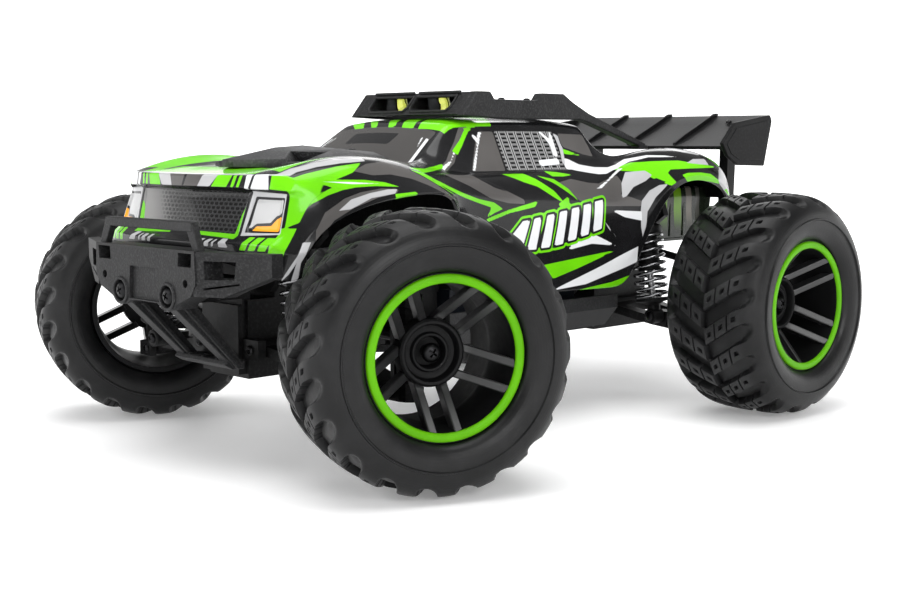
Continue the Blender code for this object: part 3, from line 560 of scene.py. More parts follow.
def tread_drop(along_pitch, across):
    """Depth of the surface below the tops of the blocks."""
    pitch = 2 * math.pi * TYRE_RADIUS / TREAD_PITCHES
    groove_half = (pitch - BLOCK_LENGTH) / 2
    middle = BLOCK_LENGTH + groove_half
    round_from = GROOVE_END - groove_half
    offset = along_pitch - middle
    if offset < -pitch / 2:
        offset += pitch
    inside = groove_half - math.hypot(offset, max(across - round_from, 0))
    wall = 0.3 + 2.6 * smooth_step((across - 17) / 6)
    depth = TREAD_DEPTH - 1.0 * smooth_step((across - 15) / 9)
    drop = depth * smooth_step(inside / wall)
    if across < CENTRE_SLIT:
        drop = max(drop, TREAD_DEPTH * (1 - across / CENTRE_SLIT))
    for low, high in SIPES:
        if low < across < high:
            drop = max(drop, SIPE_DEPTH)
    in_hole = abs(along_pitch - BLOCK_LENGTH / 2) < HOLE_HALF
    if in_hole and any(abs(across - centre) < HOLE_HALF for centre in BLOCK_CENTRES):
        drop = max(drop, HOLE_DEPTH)
    at_wall = not 0.4 < along_pitch < BLOCK_LENGTH - 0.4
    corner_cut = CORNER_CUT if drop < 0.01 and across < 18 and at_wall else 0.0
    return drop + corner_cut


def tyre_mesh():
    """One tyre about the X axis: chevrons of three blocks a side, with scooped grooves between them.

    The two sides are staggered by half a pitch.
    """
    distances, places = curve_through(TYRE_PROFILE, 400)

    def profile_at(across):
        return np.interp(across, distances, places[:, 0]), np.interp(across, distances, places[:, 1])

    lines = [d for d in tread_lines() if d < distances[-1]] + [distances[-1]]
    pitch = 2 * math.pi * TYRE_RADIUS / TREAD_PITCHES
    within = pitch_lines()
    count = TREAD_PITCHES * len(within)
    points, rings = [], []
    for side in (1, -1):
        rows = []
        for across in lines if side > 0 else lines[1:]:
            axial, radius = profile_at(across)
            ahead = profile_at(across + 0.05)
            tangent = Vector((ahead[0] - axial, ahead[1] - radius))
            if tangent.length < 1e-6:
                tangent = Vector((-1, -0.3))
            tangent.normalize()
            rib = 0.7 if 30.4 < across < 31.0 else 0.0
            row = []
            for number in range(TREAD_PITCHES):
                for distance in within:
                    drop = tread_drop(distance, across) - rib
                    shift = 0.0 if side > 0 else pitch / 2
                    angle = (number * pitch + distance + tread_slant(across) + shift) / TYRE_RADIUS
                    r = radius - drop * tangent.x
                    t = axial + drop * tangent.y
                    row.append(len(points))
                    points.append((side * t, -r * math.cos(angle), r * math.sin(angle)))
            rows.append(row)
        rings.append(rows)
    right, left = rings
    skip = round(len(within) / 2)
    faces = []
    for k in range(count):
        after = (k + 1) % count
        for a, b in zip(right, right[1:]):
            faces.append((a[k], a[after], b[after], b[k]))
        for a, b in zip(left, left[1:]):
            faces.append((b[k], b[after], a[after], a[k]))
        inner, inner_after = (k + skip) % count, (k + 1 + skip) % count
        faces.append((left[0][k], left[0][after], right[0][inner_after], right[0][inner]))
        faces.append((right[-1][inner], right[-1][inner_after], left[-1][after], left[-1][k]))
    obj = sharpened(mesh_object("tyre", points, faces), 34)
    radii = [math.hypot(v.co.y, v.co.z) / MM for v in obj.data.vertices]
    obj.data.attributes.new("wheel_radius", "FLOAT", "POINT").data.foreach_set("value", radii)
    mesh = painted(obj, RUBBER).data
    bpy.data.objects.remove(obj)
    return mesh


# ---------------------------------------------------------------- rims

BAR_PAIRS = 5
BAR_APART = 4.7  # from the middle of a pair to each bar's centre line
BAR_WIDTH = 3.0
BAR_DEPTH = 5.6
# How far each rim has rolled round at rest, in degrees
RIM_TURN = {"front_left": 36, "front_right": 20, "rear_left": 20, "rear_right": 50}


def bar_front(radius):
    """How far outboard of the wheel's middle plane the front of a bar lies."""
    return 6.0 if radius < 11 else 6.0 + (radius - 11) * 1.02


def spoke_pair(angle):
    """Two parallel bars that run from the hub to the lip, rising outwards."""
    half, cut_edge = BAR_WIDTH / 2, 0.4
    cosine, sine = math.cos(angle), math.sin(angle)
    bars = []
    for sideways in (-BAR_APART, BAR_APART):
        points, rings = [], []
        for distance in (10.3, 11.5, 14.0, 17.0, 20.0, 23.0, 25.7):
            front = bar_front(distance)
            ring = []
            for w, t in ((-half, front - BAR_DEPTH), (-half, front - cut_edge), (cut_edge - half, front),
                         (half - cut_edge, front), (half, front - cut_edge), (half, front - BAR_DEPTH)):
                u, v = sideways + w, distance
                ring.append(len(points))
                points.append((t, u * cosine - v * sine, u * sine + v * cosine))
            rings.append(ring)
        faces = [tuple(rings[0]), tuple(rings[-1])]
        for a, b in zip(rings, rings[1:]):
            faces += [(a[k], a[(k + 1) % 6], b[(k + 1) % 6], b[k]) for k in range(6)]
        bars.append(painted(sharpened(mesh_object("bar", points, faces), 28), RIM_BARS_PAINTED_LIT))
    return bars


def rim_mesh():
    """One rim about the X axis, outboard side at +X: barrel with a lime lip, pairs of bars and the hub."""
    out = (1, 0, 0)
    barrel = [(25.7, 20.9), (25.55, 20.2), (25.2, 18), (24.9, 10), (24.6, 2), (25.2, -2), (26.3, -4),
              (26.6, -20.5), (27.0, -22), (28.9, -22), (29.2, -21.4), (29.2, -8), (28.4, -6), (28.4, 6),
              (29.2, 8), (29.2, 20.6), (25.7, 20.9)]
    lip = [(25.65, 20.6), (25.7, 21.3), (26.1, 21.75), (27.2, 21.98), (28.3, 21.8), (28.75, 21.4),
           (28.85, 20.4), (25.65, 20.6)]
    parts = [painted(turned("barrel", barrel, (0, 0, 0), out, 96), RIM_BLACK)]
    parts.append(painted(turned("lip", lip, (0, 0, 0), out, 96, 60), LIME_RING))
    hub = [(0, 2.0), (5.0, 2.0), (5.3, 2.4), (5.5, 5.2), (5.9, 5.7), (6.6, 5.8), (7.0, 5.4), (7.2, 4.4),
           (8.6, 4.2), (9.4, 4.6), (9.8, 7.0), (10.3, 7.7), (11.2, 7.8), (11.9, 7.3), (12.2, 6.2),
           (12.2, 1.0), (6.6, -1.4), (6.6, -9.0), (0, -9.0)]
    parts.append(painted(turned("hub", hub, (0, 0, 0), out, 60), RIM_BLACK))
    for k in range(BAR_PAIRS):
        parts += spoke_pair(math.radians(360 / BAR_PAIRS * k))
    rim = joined("rim", parts)
    mesh = rim.data
    bpy.data.objects.remove(rim)
    return mesh


def wheel_place(side, axle_y):
    """Where a wheel modelled about the origin stands. A front wheel is steered about its kingpin."""
    middle = Matrix.Translation(Vector((side * TRACK_HALF, axle_y, AXLE_Z)) * MM)
    if axle_y > 0:
        return middle
    kingpin = Vector((side * KINGPIN_X, -AXLE_Y, 0)) * MM
    steer = Matrix.Rotation(REST_STEER, 4, "Z")
    return Matrix.Translation(kingpin) @ steer @ Matrix.Translation(-kingpin) @ middle


def wheels():
    """Four tyres and rims, each with the screw in its hub."""
    tyre, rim = tyre_mesh(), rim_mesh()
    for name, side, axle_y in CORNERS:
        place = wheel_place(side, axle_y)
        outward = Matrix.Identity(4) if side > 0 else Matrix.Rotation(math.pi, 4, "Z")
        spin = Matrix.Rotation(math.radians(RIM_TURN[name]), 4, "X")
        shown = linked(f"{name}_tyre_tread", tyre)
        shown.matrix_world = place
        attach(shown, f"{name}_wheel")
        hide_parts(f"{name}_tyre")
        shown = linked(f"{name}_rim_bars", rim)
        shown.matrix_world = place @ outward @ spin
        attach(shown, f"{name}_wheel")
        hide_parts(f"{name}_rim")
        place_on_hub = [((6.45, 0, 0), (1, 0, 0), 3.5, 20)]
        screw = screws(f"{name}_wheel_screw", f"{name}_wheel", place_on_hub, BLACK_STEEL)
        screw.matrix_world = place @ outward @ spin


# ---------------------------------------------------------------- body shell

BODY_WALL = 1.2
BODY_LEVEL = 4
# The livery of the sides starts at SIDE_LINE of the cage, and on the cabin, above its windows, at CABIN_LINE
SIDE_LINE = 3.85
CABIN_LINE = 3.05
NOSE_STATION = 5.05  # the livery of the nose ends at this station

# Cross-sections (stations) of the left half from the nose to the tail, in millimetres. In each, points 0 to 8
# run from the middle of the truck over the fender crest (4) to the lower edge. They make lines 0 to 8.
STATIONS = [
    # lower edge of the front apron
    [(0, -149, 80), (14, -149, 80), (29, -148.5, 79.5), (40, -147.5, 78), (47, -147, 76),
     (52.5, -146, 74.5), (55.5, -143, 74), (58, -139, 73.5), (60, -135.5, 73)],
    # outer edge of the chin under the grille
    [(0, -149, 86), (14, -149, 86), (29, -148, 86.2), (38, -146.5, 86.5), (47, -145, 86.5),
     (54, -142.5, 86), (57, -139.5, 84), (60.5, -136.5, 83), (62, -133, 83)],
    # lower edge of the grille and headlights
    [(0, -145, 88), (14, -145, 88), (30, -143.2, 88.3), (38, -142.5, 89.2), (47, -141, 89.6),
     (53.5, -138.5, 89.5), (57, -135.5, 89.5), (61, -132, 90), (62.5, -128.5, 89.5)],
    # upper edge of the grille and headlights
    [(0, -141, 105), (14, -140.6, 105), (30, -139.2, 105), (38, -138, 104.5), (46, -136.2, 104.2),
     (52, -133.8, 104), (57, -129, 100.5), (61.5, -124, 96), (63, -120.5, 94.5)],
    # lower edge of the bonnet lip
    [(0, -143.5, 106.2), (14, -143.2, 106.2), (30, -141.8, 106.2), (40, -140, 106), (48, -137.6, 105.8),
     (53.5, -134, 105.2), (58, -125.5, 103.5), (62, -117, 99), (63.5, -113.5, 97.3)],
    # upper edge of the bonnet lip
    [(0, -142.5, 110.6), (14, -142.2, 110.6), (30, -140.8, 110.6), (40, -139, 110.8),
     (48, -136, 111.2), (54, -130.5, 110), (58.5, -120, 106.5), (62.5, -110, 101.5), (64, -106, 99.6)],
    # fenders rise towards the front axle
    [(0, -128, 112), (14, -128, 112.2), (28, -127, 112.6), (38, -126, 114), (47, -123.5, 115.6),
     (54.5, -117, 113.6), (59, -109, 108.6), (63, -101, 103.2), (64.5, -98, 101.4)],
    [(0, -110, 112.8), (14, -110, 113), (29, -110, 113.6), (38, -109, 116.4), (47, -107, 118.4),
     (54.5, -101, 115.8), (59, -96, 109.8), (63, -90, 104.8), (64.5, -88, 102.8)],
    [(0, -93, 113.3), (14, -93, 113.5), (29, -93, 114), (38, -92.5, 116.6), (47, -91, 118.3),
     (54, -87, 115.6), (58.5, -84, 110), (62, -80, 105.6), (63.5, -78.5, 103.6)],
    [(0, -77, 113.7), (14, -77, 113.8), (30, -77, 114), (38, -76.5, 115.2), (46.5, -76, 116),
     (53, -74, 113.8), (57.5, -71.5, 109.4), (61, -69, 105.2), (62, -67.5, 103.6)],
    # foot of the windscreen
    [(0, -64, 114.2), (14, -63, 114.2), (30, -61, 113.8), (39, -58.5, 113), (46.5, -60, 112.6),
     (52, -61.5, 110.8), (56, -60.5, 107.4), (58.5, -58.5, 103), (59.5, -57, 101.5)],
    # top of the windscreen
    [(0, -38, 131), (14, -37.5, 131), (26.5, -36.8, 130.6), (32.5, -35.5, 129.8),
     (44.5, -39, 110.2), (51, -42, 107.8), (54, -46, 102.5), (55, -49, 96), (55.5, -51, 93)],
    [(0, -24, 133), (14, -24, 133), (27, -24, 132.6), (34, -24, 130.4),
     (44.5, -25, 110), (51.5, -28, 107), (54, -33, 97), (54, -39, 82), (53, -47, 74)],
    [(0, -5, 133.5), (14, -5, 133.5), (27.5, -5, 133), (34.5, -5, 130.8),
     (44.5, -5, 110.4), (51.5, -8, 106.5), (54.5, -14, 93), (54, -24, 72), (50, -40, 60)],
    [(0, 18, 133.5), (14, 18, 133.5), (27.5, 18, 133), (34.5, 18, 130.8),
     (44.5, 16, 111), (51.5, 14, 105.5), (54.5, 9, 91), (54, 2, 70), (50, -10, 58)],
    [(0, 39, 133), (14, 39, 133), (27.5, 38.5, 132.6), (34.5, 37, 130.4),
     (44, 33, 112), (51.5, 32, 104.5), (54.5, 30, 89), (54, 27, 68), (50, 22, 57.5)],
    # rear edge of the roof
    [(0, 50, 131.4), (14, 50, 131.4), (26.5, 49.5, 131), (33, 47.5, 129.4),
     (41.5, 52, 113.8), (50.5, 50, 105.6), (54.5, 50, 89), (54.5, 48, 68), (50.5, 48, 57)],
    # foot of the rear screen
    [(0, 64, 113), (14, 64, 113), (27, 63, 113), (35, 62, 113.4), (43, 63, 116.4),
     (51.5, 61.5, 111), (55.5, 61, 94), (55.5, 60.5, 70), (52, 61, 56.8)],
    # rear fenders, over the wheel arch
    [(0, 78, 112.5), (14, 78, 112.5), (28, 78, 112.8), (37, 77, 116.6), (46, 76, 120.2),
     (53, 73.5, 117.4), (57.5, 71.5, 105), (58.5, 69.5, 92), (57.5, 68, 80)],
    [(0, 97, 112.5), (14, 97, 112.5), (28, 97, 113), (37, 97, 118), (46, 97, 121.2),
     (54, 95, 118.8), (58, 91, 112.5), (60.5, 86, 107.4), (60.5, 84, 105)],
    [(0, 116, 111.6), (14, 116, 111.6), (28, 116, 112), (37, 116, 116.4), (46, 116.5, 119.3),
     (53.5, 116, 117), (58, 114, 111.6), (60.5, 111, 107.4), (60.5, 109.5, 105.2)],
    [(0, 131, 109), (14, 131, 109), (28, 131, 109.4), (38, 131.5, 112.6), (46, 132, 114.8),
     (52.5, 131.5, 112.4), (57, 129, 107.2), (59, 126, 102.4), (59, 124.5, 100.4)],
    # rounded rear end and its lower edge
    [(0, 141, 104), (14, 141, 104), (28, 141, 104.4), (38, 141, 106.6), (46, 140.5, 107.8),
     (52, 138.5, 105), (56, 134.5, 100.6), (58, 131, 97.4), (58, 129.5, 96.2)],
    [(0, 144, 95), (14, 144, 95), (28, 143.8, 95), (38, 143.2, 95.2), (46, 142, 95.4),
     (51.5, 139.5, 94.6), (55.5, 136, 93.8), (57, 133, 93.2), (57, 131.5, 93)],
]

# Sharp lines of the shell: ("station" or "line", index, first, last, crease)
CREASES = [
    ("station", 1, 0, 8, 0.7),
    ("station", 2, 0, 5, 0.8),
    ("station", 3, 0, 5, 0.8),
    ("station", 4, 0, 5, 0.7),
    ("station", 5, 0, 5, 0.6),
    ("station", 10, 0, 3, 0.6),
    ("station", 11, 0, 3, 0.5),
    ("station", 16, 0, 3, 0.6),
    ("station", 17, 0, 3, 0.6),
    ("line", 3, 10, 17, 0.5),
    ("line", 4, 10, 16, 0.7),
    ("line", 5, 0, 5, 0.6),
    ("line", 7, 0, 23, 0.5),
]

# The colours of the livery, and its layers in the order in which they are sprayed. A layer's name is its colour
# and a number.
PAINTS = {
    "grey": (0.092, 0.087, 0.084), "lime": (0.150, 0.620, 0.005), "dark": (0.011, 0.011, 0.012),
    "silver": (0.46, 0.46, 0.47), "white": (0.74, 0.75, 0.76), "amber": (0.90, 0.36, 0.02),
    "smoke": (0.062, 0.059, 0.057), "pearl": (0.47, 0.47, 0.475),
}
LAYERS = ("grey_1", "lime_1", "dark_1", "silver_1", "white_1", "grey_2", "smoke_1", "lime_2", "dark_2",
          "silver_2", "white_2", "lime_3", "dark_3", "white_3", "pearl_1", "amber_1")

# Sharp-edged flashes along the doors: one list of (y, z) corners each
DOOR_FLASHES = [
    [(-20, 83), (-12, 89.6), (-7.6, 90), (-13, 77.4), (-17, 79)],
    [(-9.4, 77.6), (-4.8, 90.4), (-0.4, 90.9), (-4, 77.4)],
    [(-0.8, 77.8), (3.6, 91.5), (8.2, 92), (4.8, 78)],
    [(7.8, 78.4), (11.8, 92.6), (16.6, 93.2), (13.2, 79)],
    [(16.4, 79.8), (20, 93.8), (25, 94.4), (21.8, 80.6)],
    [(24.8, 81.4), (28.2, 95), (33.2, 95.7), (30.2, 82.4)],
    [(33.4, 83.2), (36.2, 96.3), (41.8, 97), (39.2, 84.4)],
]

# What is sprayed on the sides: (layer, how far the shape is grown, corners as (y, z))
SIDE_SHAPES = [
    # front fender: lime flame with a tongue, grey tail, dark and silver arch flare
    ("lime_1", 0, [(-133.8, 109.4), (-126.3, 111.3), (-120, 112.5), (-112.5, 113.8), (-101, 115),
                   (-107.5, 111.5), (-116, 109.1), (-103.8, 108.8), (-95, 107.8), (-88.8, 106),
                   (-100, 106.5), (-108.8, 106.2), (-115, 105.3), (-121.3, 103.5), (-127.5, 100.6),
                   (-131.3, 97.3), (-133.8, 93.8), (-135.6, 90.6), (-138, 88.6), (-139.4, 86),
                   (-142.4, 79), (-144, 73), (-148, 73), (-148, 88), (-142, 90), (-139.5, 98),
                   (-136, 105.4)]),
    # A painted highlight: a thin white streak along the lime flame, standing for a reflection on the fender's
    # curve.
    ("white_1", 0, [(-122, 108.5), (-110, 108.1), (-97, 107.3), (-110, 107.4)]),
    ("silver_1", 0, [(-137, 110.6), (-128.8, 113.1), (-120, 115), (-110, 116.4), (-98, 116.8),
                     (-98, 115.6), (-110, 114.9), (-120, 113.7), (-128.8, 111.9), (-134, 110)]),
    ("white_1", 0, [(-139, 111), (-134.6, 111), (-136, 105.6), (-139.6, 105.6)]),
    ("dark_1", 0, [(-141.4, 111), (-140, 111), (-140.6, 105.6), (-142, 105.6)]),
    ("grey_1", 0, [(-107, 112.1), (-99, 114.6), (-88, 115.6), (-80, 113), (-71, 108.6), (-60, 102.6),
                   (-51, 99), (-58, 100.6), (-66, 103.4), (-72, 106), (-80, 108.8), (-90, 110.6),
                   (-99, 110.4)]),
    ("grey_1", 0, [(-98, 119), (-98, 116), (-88, 116), (-74, 113.4), (-62, 113.4), (-62, 119)]),
    ("dark_1", 0, [(-84, 113.6), (-78, 112.4), (-70, 112.9), (-60, 113), (-70, 113.8)]),
    ("grey_1", 0, [(-130, 86), (-128.8, 91.3), (-123.8, 97.5), (-115, 102.3), (-107.5, 104.4),
                   (-97.5, 105.6), (-90, 105), (-91.3, 103.9), (-101, 102.3), (-112.5, 98.8),
                   (-121.3, 94.6), (-126.3, 90)]),
    ("silver_1", 0, [(-118.6, 98), (-112.5, 101.9), (-103.8, 104), (-95, 105.2), (-90.4, 105.2),
                     (-92.4, 103.6), (-103.8, 102.2), (-113.8, 98.4)]),
    ("lime_2", 0, [(-92.6, 103.4), (-82, 104), (-80, 102.4), (-93, 101.8)]),
    ("silver_1", 0, [(-141.4, 73), (-134, 87.2), (-131.4, 87.2), (-135.2, 80), (-136, 73), (-138.2, 73),
                     (-136.6, 80), (-138.8, 76)]),
    # lime lines that run back from the fender
    ("lime_1", 0, [(-77.5, 112.2), (-70, 110.7), (-67, 107.7), (-60, 104.2), (-50, 100.6), (-58, 103),
                   (-66, 106.3), (-72, 109.6)]),
    ("lime_1", 0, [(-71, 111.2), (-65, 108.2), (-57.5, 105.5), (-47.5, 102.4), (-37.5, 99.6),
                   (-28.8, 98), (-23.8, 95.2), (-28.8, 93.8), (-34, 91.8), (-30.5, 96), (-37.5, 97.9),
                   (-47.5, 100.7), (-57.5, 103.9), (-65, 106.5)]),
    ("lime_2", 0, [(-77, 112.9), (-65, 112.3), (-55, 112.9), (-48, 114), (-50, 112), (-60, 111.3),
                   (-70, 110.8)]),
    ("grey_1", 0, [(-57, 110.6), (-45, 109.4), (-36, 109.2), (-30, 107), (-20, 102.5), (-10, 98.5),
                   (-10, 96.8), (-20, 97.4), (-30, 99.5), (-42, 105)]),
    ("dark_1", 0, [(-36, 109.2), (-30, 107), (-18, 101.6), (-27, 104), (-33, 107)]),
    ("lime_2", 0, [(-34, 91.5), (-20, 94.8), (-1, 98), (-4, 95.4), (-20, 93.3), (-33, 90.1)]),
    ("lime_1", 0, [(-44.5, 68.8), (-40, 67.6), (-24, 59.3), (-32.5, 59.6), (-42, 62)]),
    # cabin: grey and lime pillar, side windows in a dark frame
    ("grey_1", 0, [(-53, 111.6), (-45, 115.2), (-36, 122.6), (-29, 130), (-22, 133), (-24, 129),
                   (-34, 121), (-41, 114.2), (-48, 111)]),
    ("white_1", 0, [(-51, 112.2), (-43, 115), (-36, 120.8), (-26, 128.4), (-26, 127.2), (-36.5, 119.4),
                    (-43.5, 113.8), (-50, 111.2)]),
    ("lime_2", 0, [(-39.4, 118.8), (-32.5, 123.4), (-27.5, 128), (-21, 131.4), (-6, 132), (-6, 129.8),
                   (-20, 129.6), (-26, 127), (-32.5, 121), (-37, 117.4)]),
    ("lime_2", 0, [(-44, 126), (-36, 131.4), (-20, 134), (-20, 131.6), (-30, 130.2), (-38, 126.2)]),
    ("grey_2", 0, [(-32, 110.9), (-22, 125.4), (-19.4, 127.3), (-11.6, 127.3), (-12, 110.9)]),
    ("grey_2", 0, [(29.4, 126.6), (48.6, 126.2), (49.6, 121), (49, 116.4), (42.5, 117.4),
                   (29.6, 120.8)]),
    ("white_2", 0, [(-31.4, 111.2), (-29.6, 111.2), (-20.4, 124.4), (-18, 127), (-20.4, 127),
                    (-22, 124.6), (-24.6, 126), (-25.2, 124.6), (-22.8, 122.6)]),
    ("silver_2", 0, [(25.4, 127.6), (28.7, 125.6), (29, 120), (27.2, 113), (25.6, 113), (27.2, 120),
                     (27, 125)]),
    ("white_3", 0, [(16.8, 127.4), (19, 127.4), (22.8, 124), (24, 127.4), (25.2, 127), (24.4, 116.6),
                    (21.6, 116.6), (21.8, 121.6), (20, 124.4)]),
    ("white_3", 0, [(10.6, 115), (23.8, 115.8), (23.8, 113.2), (10.6, 112.5)]),
    ("lime_2", 0, [(28.6, 119.8), (41, 116.4), (28.6, 117.4)]),
    # behind the door: white swoosh, lime band over the rear fender
    ("white_1", 0, [(26.6, 115.8), (30, 115), (36, 112.7), (45, 111.4), (53, 111.2), (58, 112.4),
                    (64, 114.8), (75, 116.6), (85, 116.4), (93, 115.7), (85, 115.7), (75, 115.7),
                    (65, 113.8), (58, 111), (50, 108.4), (45, 108.3), (40, 108.9), (32.5, 109.9),
                    (26.6, 111)]),
    ("grey_1", 0, [(13, 105), (24, 106.6), (35, 104.7), (42, 104.2), (55, 107.7), (57, 103), (54, 99),
                   (60, 97.7), (66, 95.7), (65, 93.6), (37.5, 94.3), (26, 97), (18, 102)]),
    ("white_1", 0, [(39, 102), (48, 105.4), (58, 110.6), (60, 110.8), (52, 106.6), (43, 102.2)]),
    ("silver_1", 0, [(54.5, 97.4), (56, 104), (60, 109), (70, 109.6), (73, 107.5), (69, 105),
                     (62, 102.3), (57.5, 98.3)]),
    ("lime_1", 0, [(55, 110.4), (60, 112), (65, 113.3), (75, 113.8), (85, 114), (92.5, 114),
                   (102.5, 112.8), (112.5, 111.7), (121, 111), (120, 110.4), (98.8, 110.3), (85, 110),
                   (82.5, 108.5), (86, 104), (82.5, 102.6), (75, 105.2), (70, 107.6), (65, 109.2),
                   (57, 109.8)]),
    ("dark_1", 0, [(60, 98), (70, 105.2), (75, 106.2), (80, 104.4), (70, 98.6), (65, 97.8)]),
    ("silver_1", 0, [(64.4, 91), (65.4, 96), (70, 100.5), (76, 103), (81, 103.4), (73, 97.5), (68, 91),
                     (67, 84), (65.4, 79), (64.4, 84)]),
    ("silver_1", 0, [(97.5, 112.9), (104, 114.6), (115, 114.6), (115.6, 111.6), (107.5, 112.1)]),
    ("lime_2", 0, [(91, 107.4), (95, 108.3), (105, 108.3), (113.8, 107.5), (120, 104.5), (121, 102.6),
                   (111.3, 104), (100, 104.2), (93.8, 104.2)]),
    ("silver_1", 0, [(91, 119.6), (100, 120.4), (112, 118.6), (118, 116.8), (112, 116.4), (100, 117.8)]),
    ("lime_2", 0, [(118, 116.8), (125, 115), (131, 110.8), (126, 110.6), (121, 114.2)]),
    ("silver_1", 0, [(120, 104.4), (123.8, 108.8), (130, 111.4), (136, 109), (137, 104), (131, 104.6),
                     (129.8, 102.4), (131, 96.6), (126, 99.4), (121, 102.6)]),
    ("lime_2", 0, [(126, 99.6), (135, 94.6), (136.4, 95.8), (129, 100.2)]),
    # doors: lime and white spikes on black, with the row of flashes between
    ("lime_1", 0, [(-17, 109.3), (-4, 109.3), (1, 107), (10, 101.7), (16, 95.8), (8, 99.6), (0, 103.8),
                   (-7.5, 105.8)]),
    ("lime_1", 0, [(10, 110.2), (17.5, 109.6), (27, 108.3), (20, 107.7), (13, 107.9)]),
    ("lime_1", 0, [(2.5, 108.5), (12.5, 106.7), (20, 102.2), (25, 97), (19, 100.8), (11, 105.2)]),
    ("lime_3", 0, [(11.4, 96.2), (19, 99.4), (18, 94), (13.6, 93.6)]),
    ("white_1", 0, [(46.5, 92.3), (65, 91.2), (65, 87), (55, 88.9)]),
    ("silver_1", 0, [(40.5, 89), (49.6, 79.6), (43.8, 84.4)]),
    ("white_1", 0, [(21, 81.6), (35.5, 81.6), (49.4, 76.3), (32.5, 78), (17, 76)]),
    ("lime_1", 0, [(1, 70.4), (49.6, 74.4), (9.4, 63.8)]),
    ("white_1", 0, [(10.6, 58.4), (63.4, 75.4), (64.4, 68), (32.5, 59.8)]),
    ("lime_1", 0, [(28.6, 57.4), (50, 59.6), (61, 62), (60, 54), (45, 54)]),
]
for _flash in DOOR_FLASHES:
    SIDE_SHAPES += [("lime_3", 2.1, _flash), ("dark_3", 1.1, _flash), ("white_3", 0.1, _flash)]

# The same over the bonnet, the screens and the roof, as (x, y). The roof's stripes run one way.
TOP_SHAPES = [
    ("grey_1", 0, [(-60, -112), (60, -112), (60, -60), (-60, -60)]),
    ("silver_1", 0, [(-38, -146), (38, -146), (37, -137.6), (0, -138.6), (-37, -137.6)]),
    ("lime_1", 0, [(-37, -137.8), (0, -138.8), (37, -137.8), (36, -130), (26, -122), (10, -114),
                   (-10, -114), (-26, -122), (-36, -130)]),
    ("smoke_1", 0, [(-34.5, -61), (34.5, -61), (31.4, -40.6), (-31.4, -40.6)]),
    ("dark_2", 0, [(-15, -51.4), (13, -51.4), (13, -44.6), (-15, -44.6)]),
    ("smoke_1", 0, [(-27, 48), (27, 48), (29, 58), (-29, 58)]),
    ("grey_1", 0, [(-12, 68), (12, 68), (19, 134), (-19, 134)]),
    ("dark_1", 0, [(-5, 68), (5, 68), (9, 140), (-9, 140)]),
    ("lime_2", 0, [(-27, -26), (-9, -41), (-5, -41), (-23, -24)]),
    ("lime_2", 0, [(-19, -19), (2, -41), (6.4, -41), (-14, -16)]),
    ("lime_2", 0, [(-12, -12), (10.6, -41), (17.8, -41), (-3, -8)]),
    ("lime_2", 0, [(1, -8), (20.6, -41), (36, -39), (35, -12), (24, -5), (8, -2)]),
    ("lime_2", 0, [(-36, -30), (-20, -41), (-14, -41), (-30, -26)]),
]
for _side in (-1, 1):
    TOP_SHAPES += [
        ("lime_1", 0, on_side(_side, [(31, -130), (50, -134), (52, -86), (43, -85), (33, -103)])),
        ("dark_1", 0, on_side(_side, [(28.4, -132), (30.6, -133), (32.6, -103), (30, -100)])),
        ("lime_1", 0, on_side(_side, [(19, 64), (25, 62), (33, 106), (30, 124), (25, 98)])),
        ("white_1", 0, on_side(_side, [(15, 66), (17, 65), (22, 100), (21, 108)])),
        ("white_2", 0, on_side(_side, [(34.2, -61), (35.8, -61), (31.6, -45), (30, -45)])),
        ("white_2", 0, on_side(_side, [(29.4, -49.6), (30.4, -50.4), (28.2, -45), (27, -44.6)])),
    ]

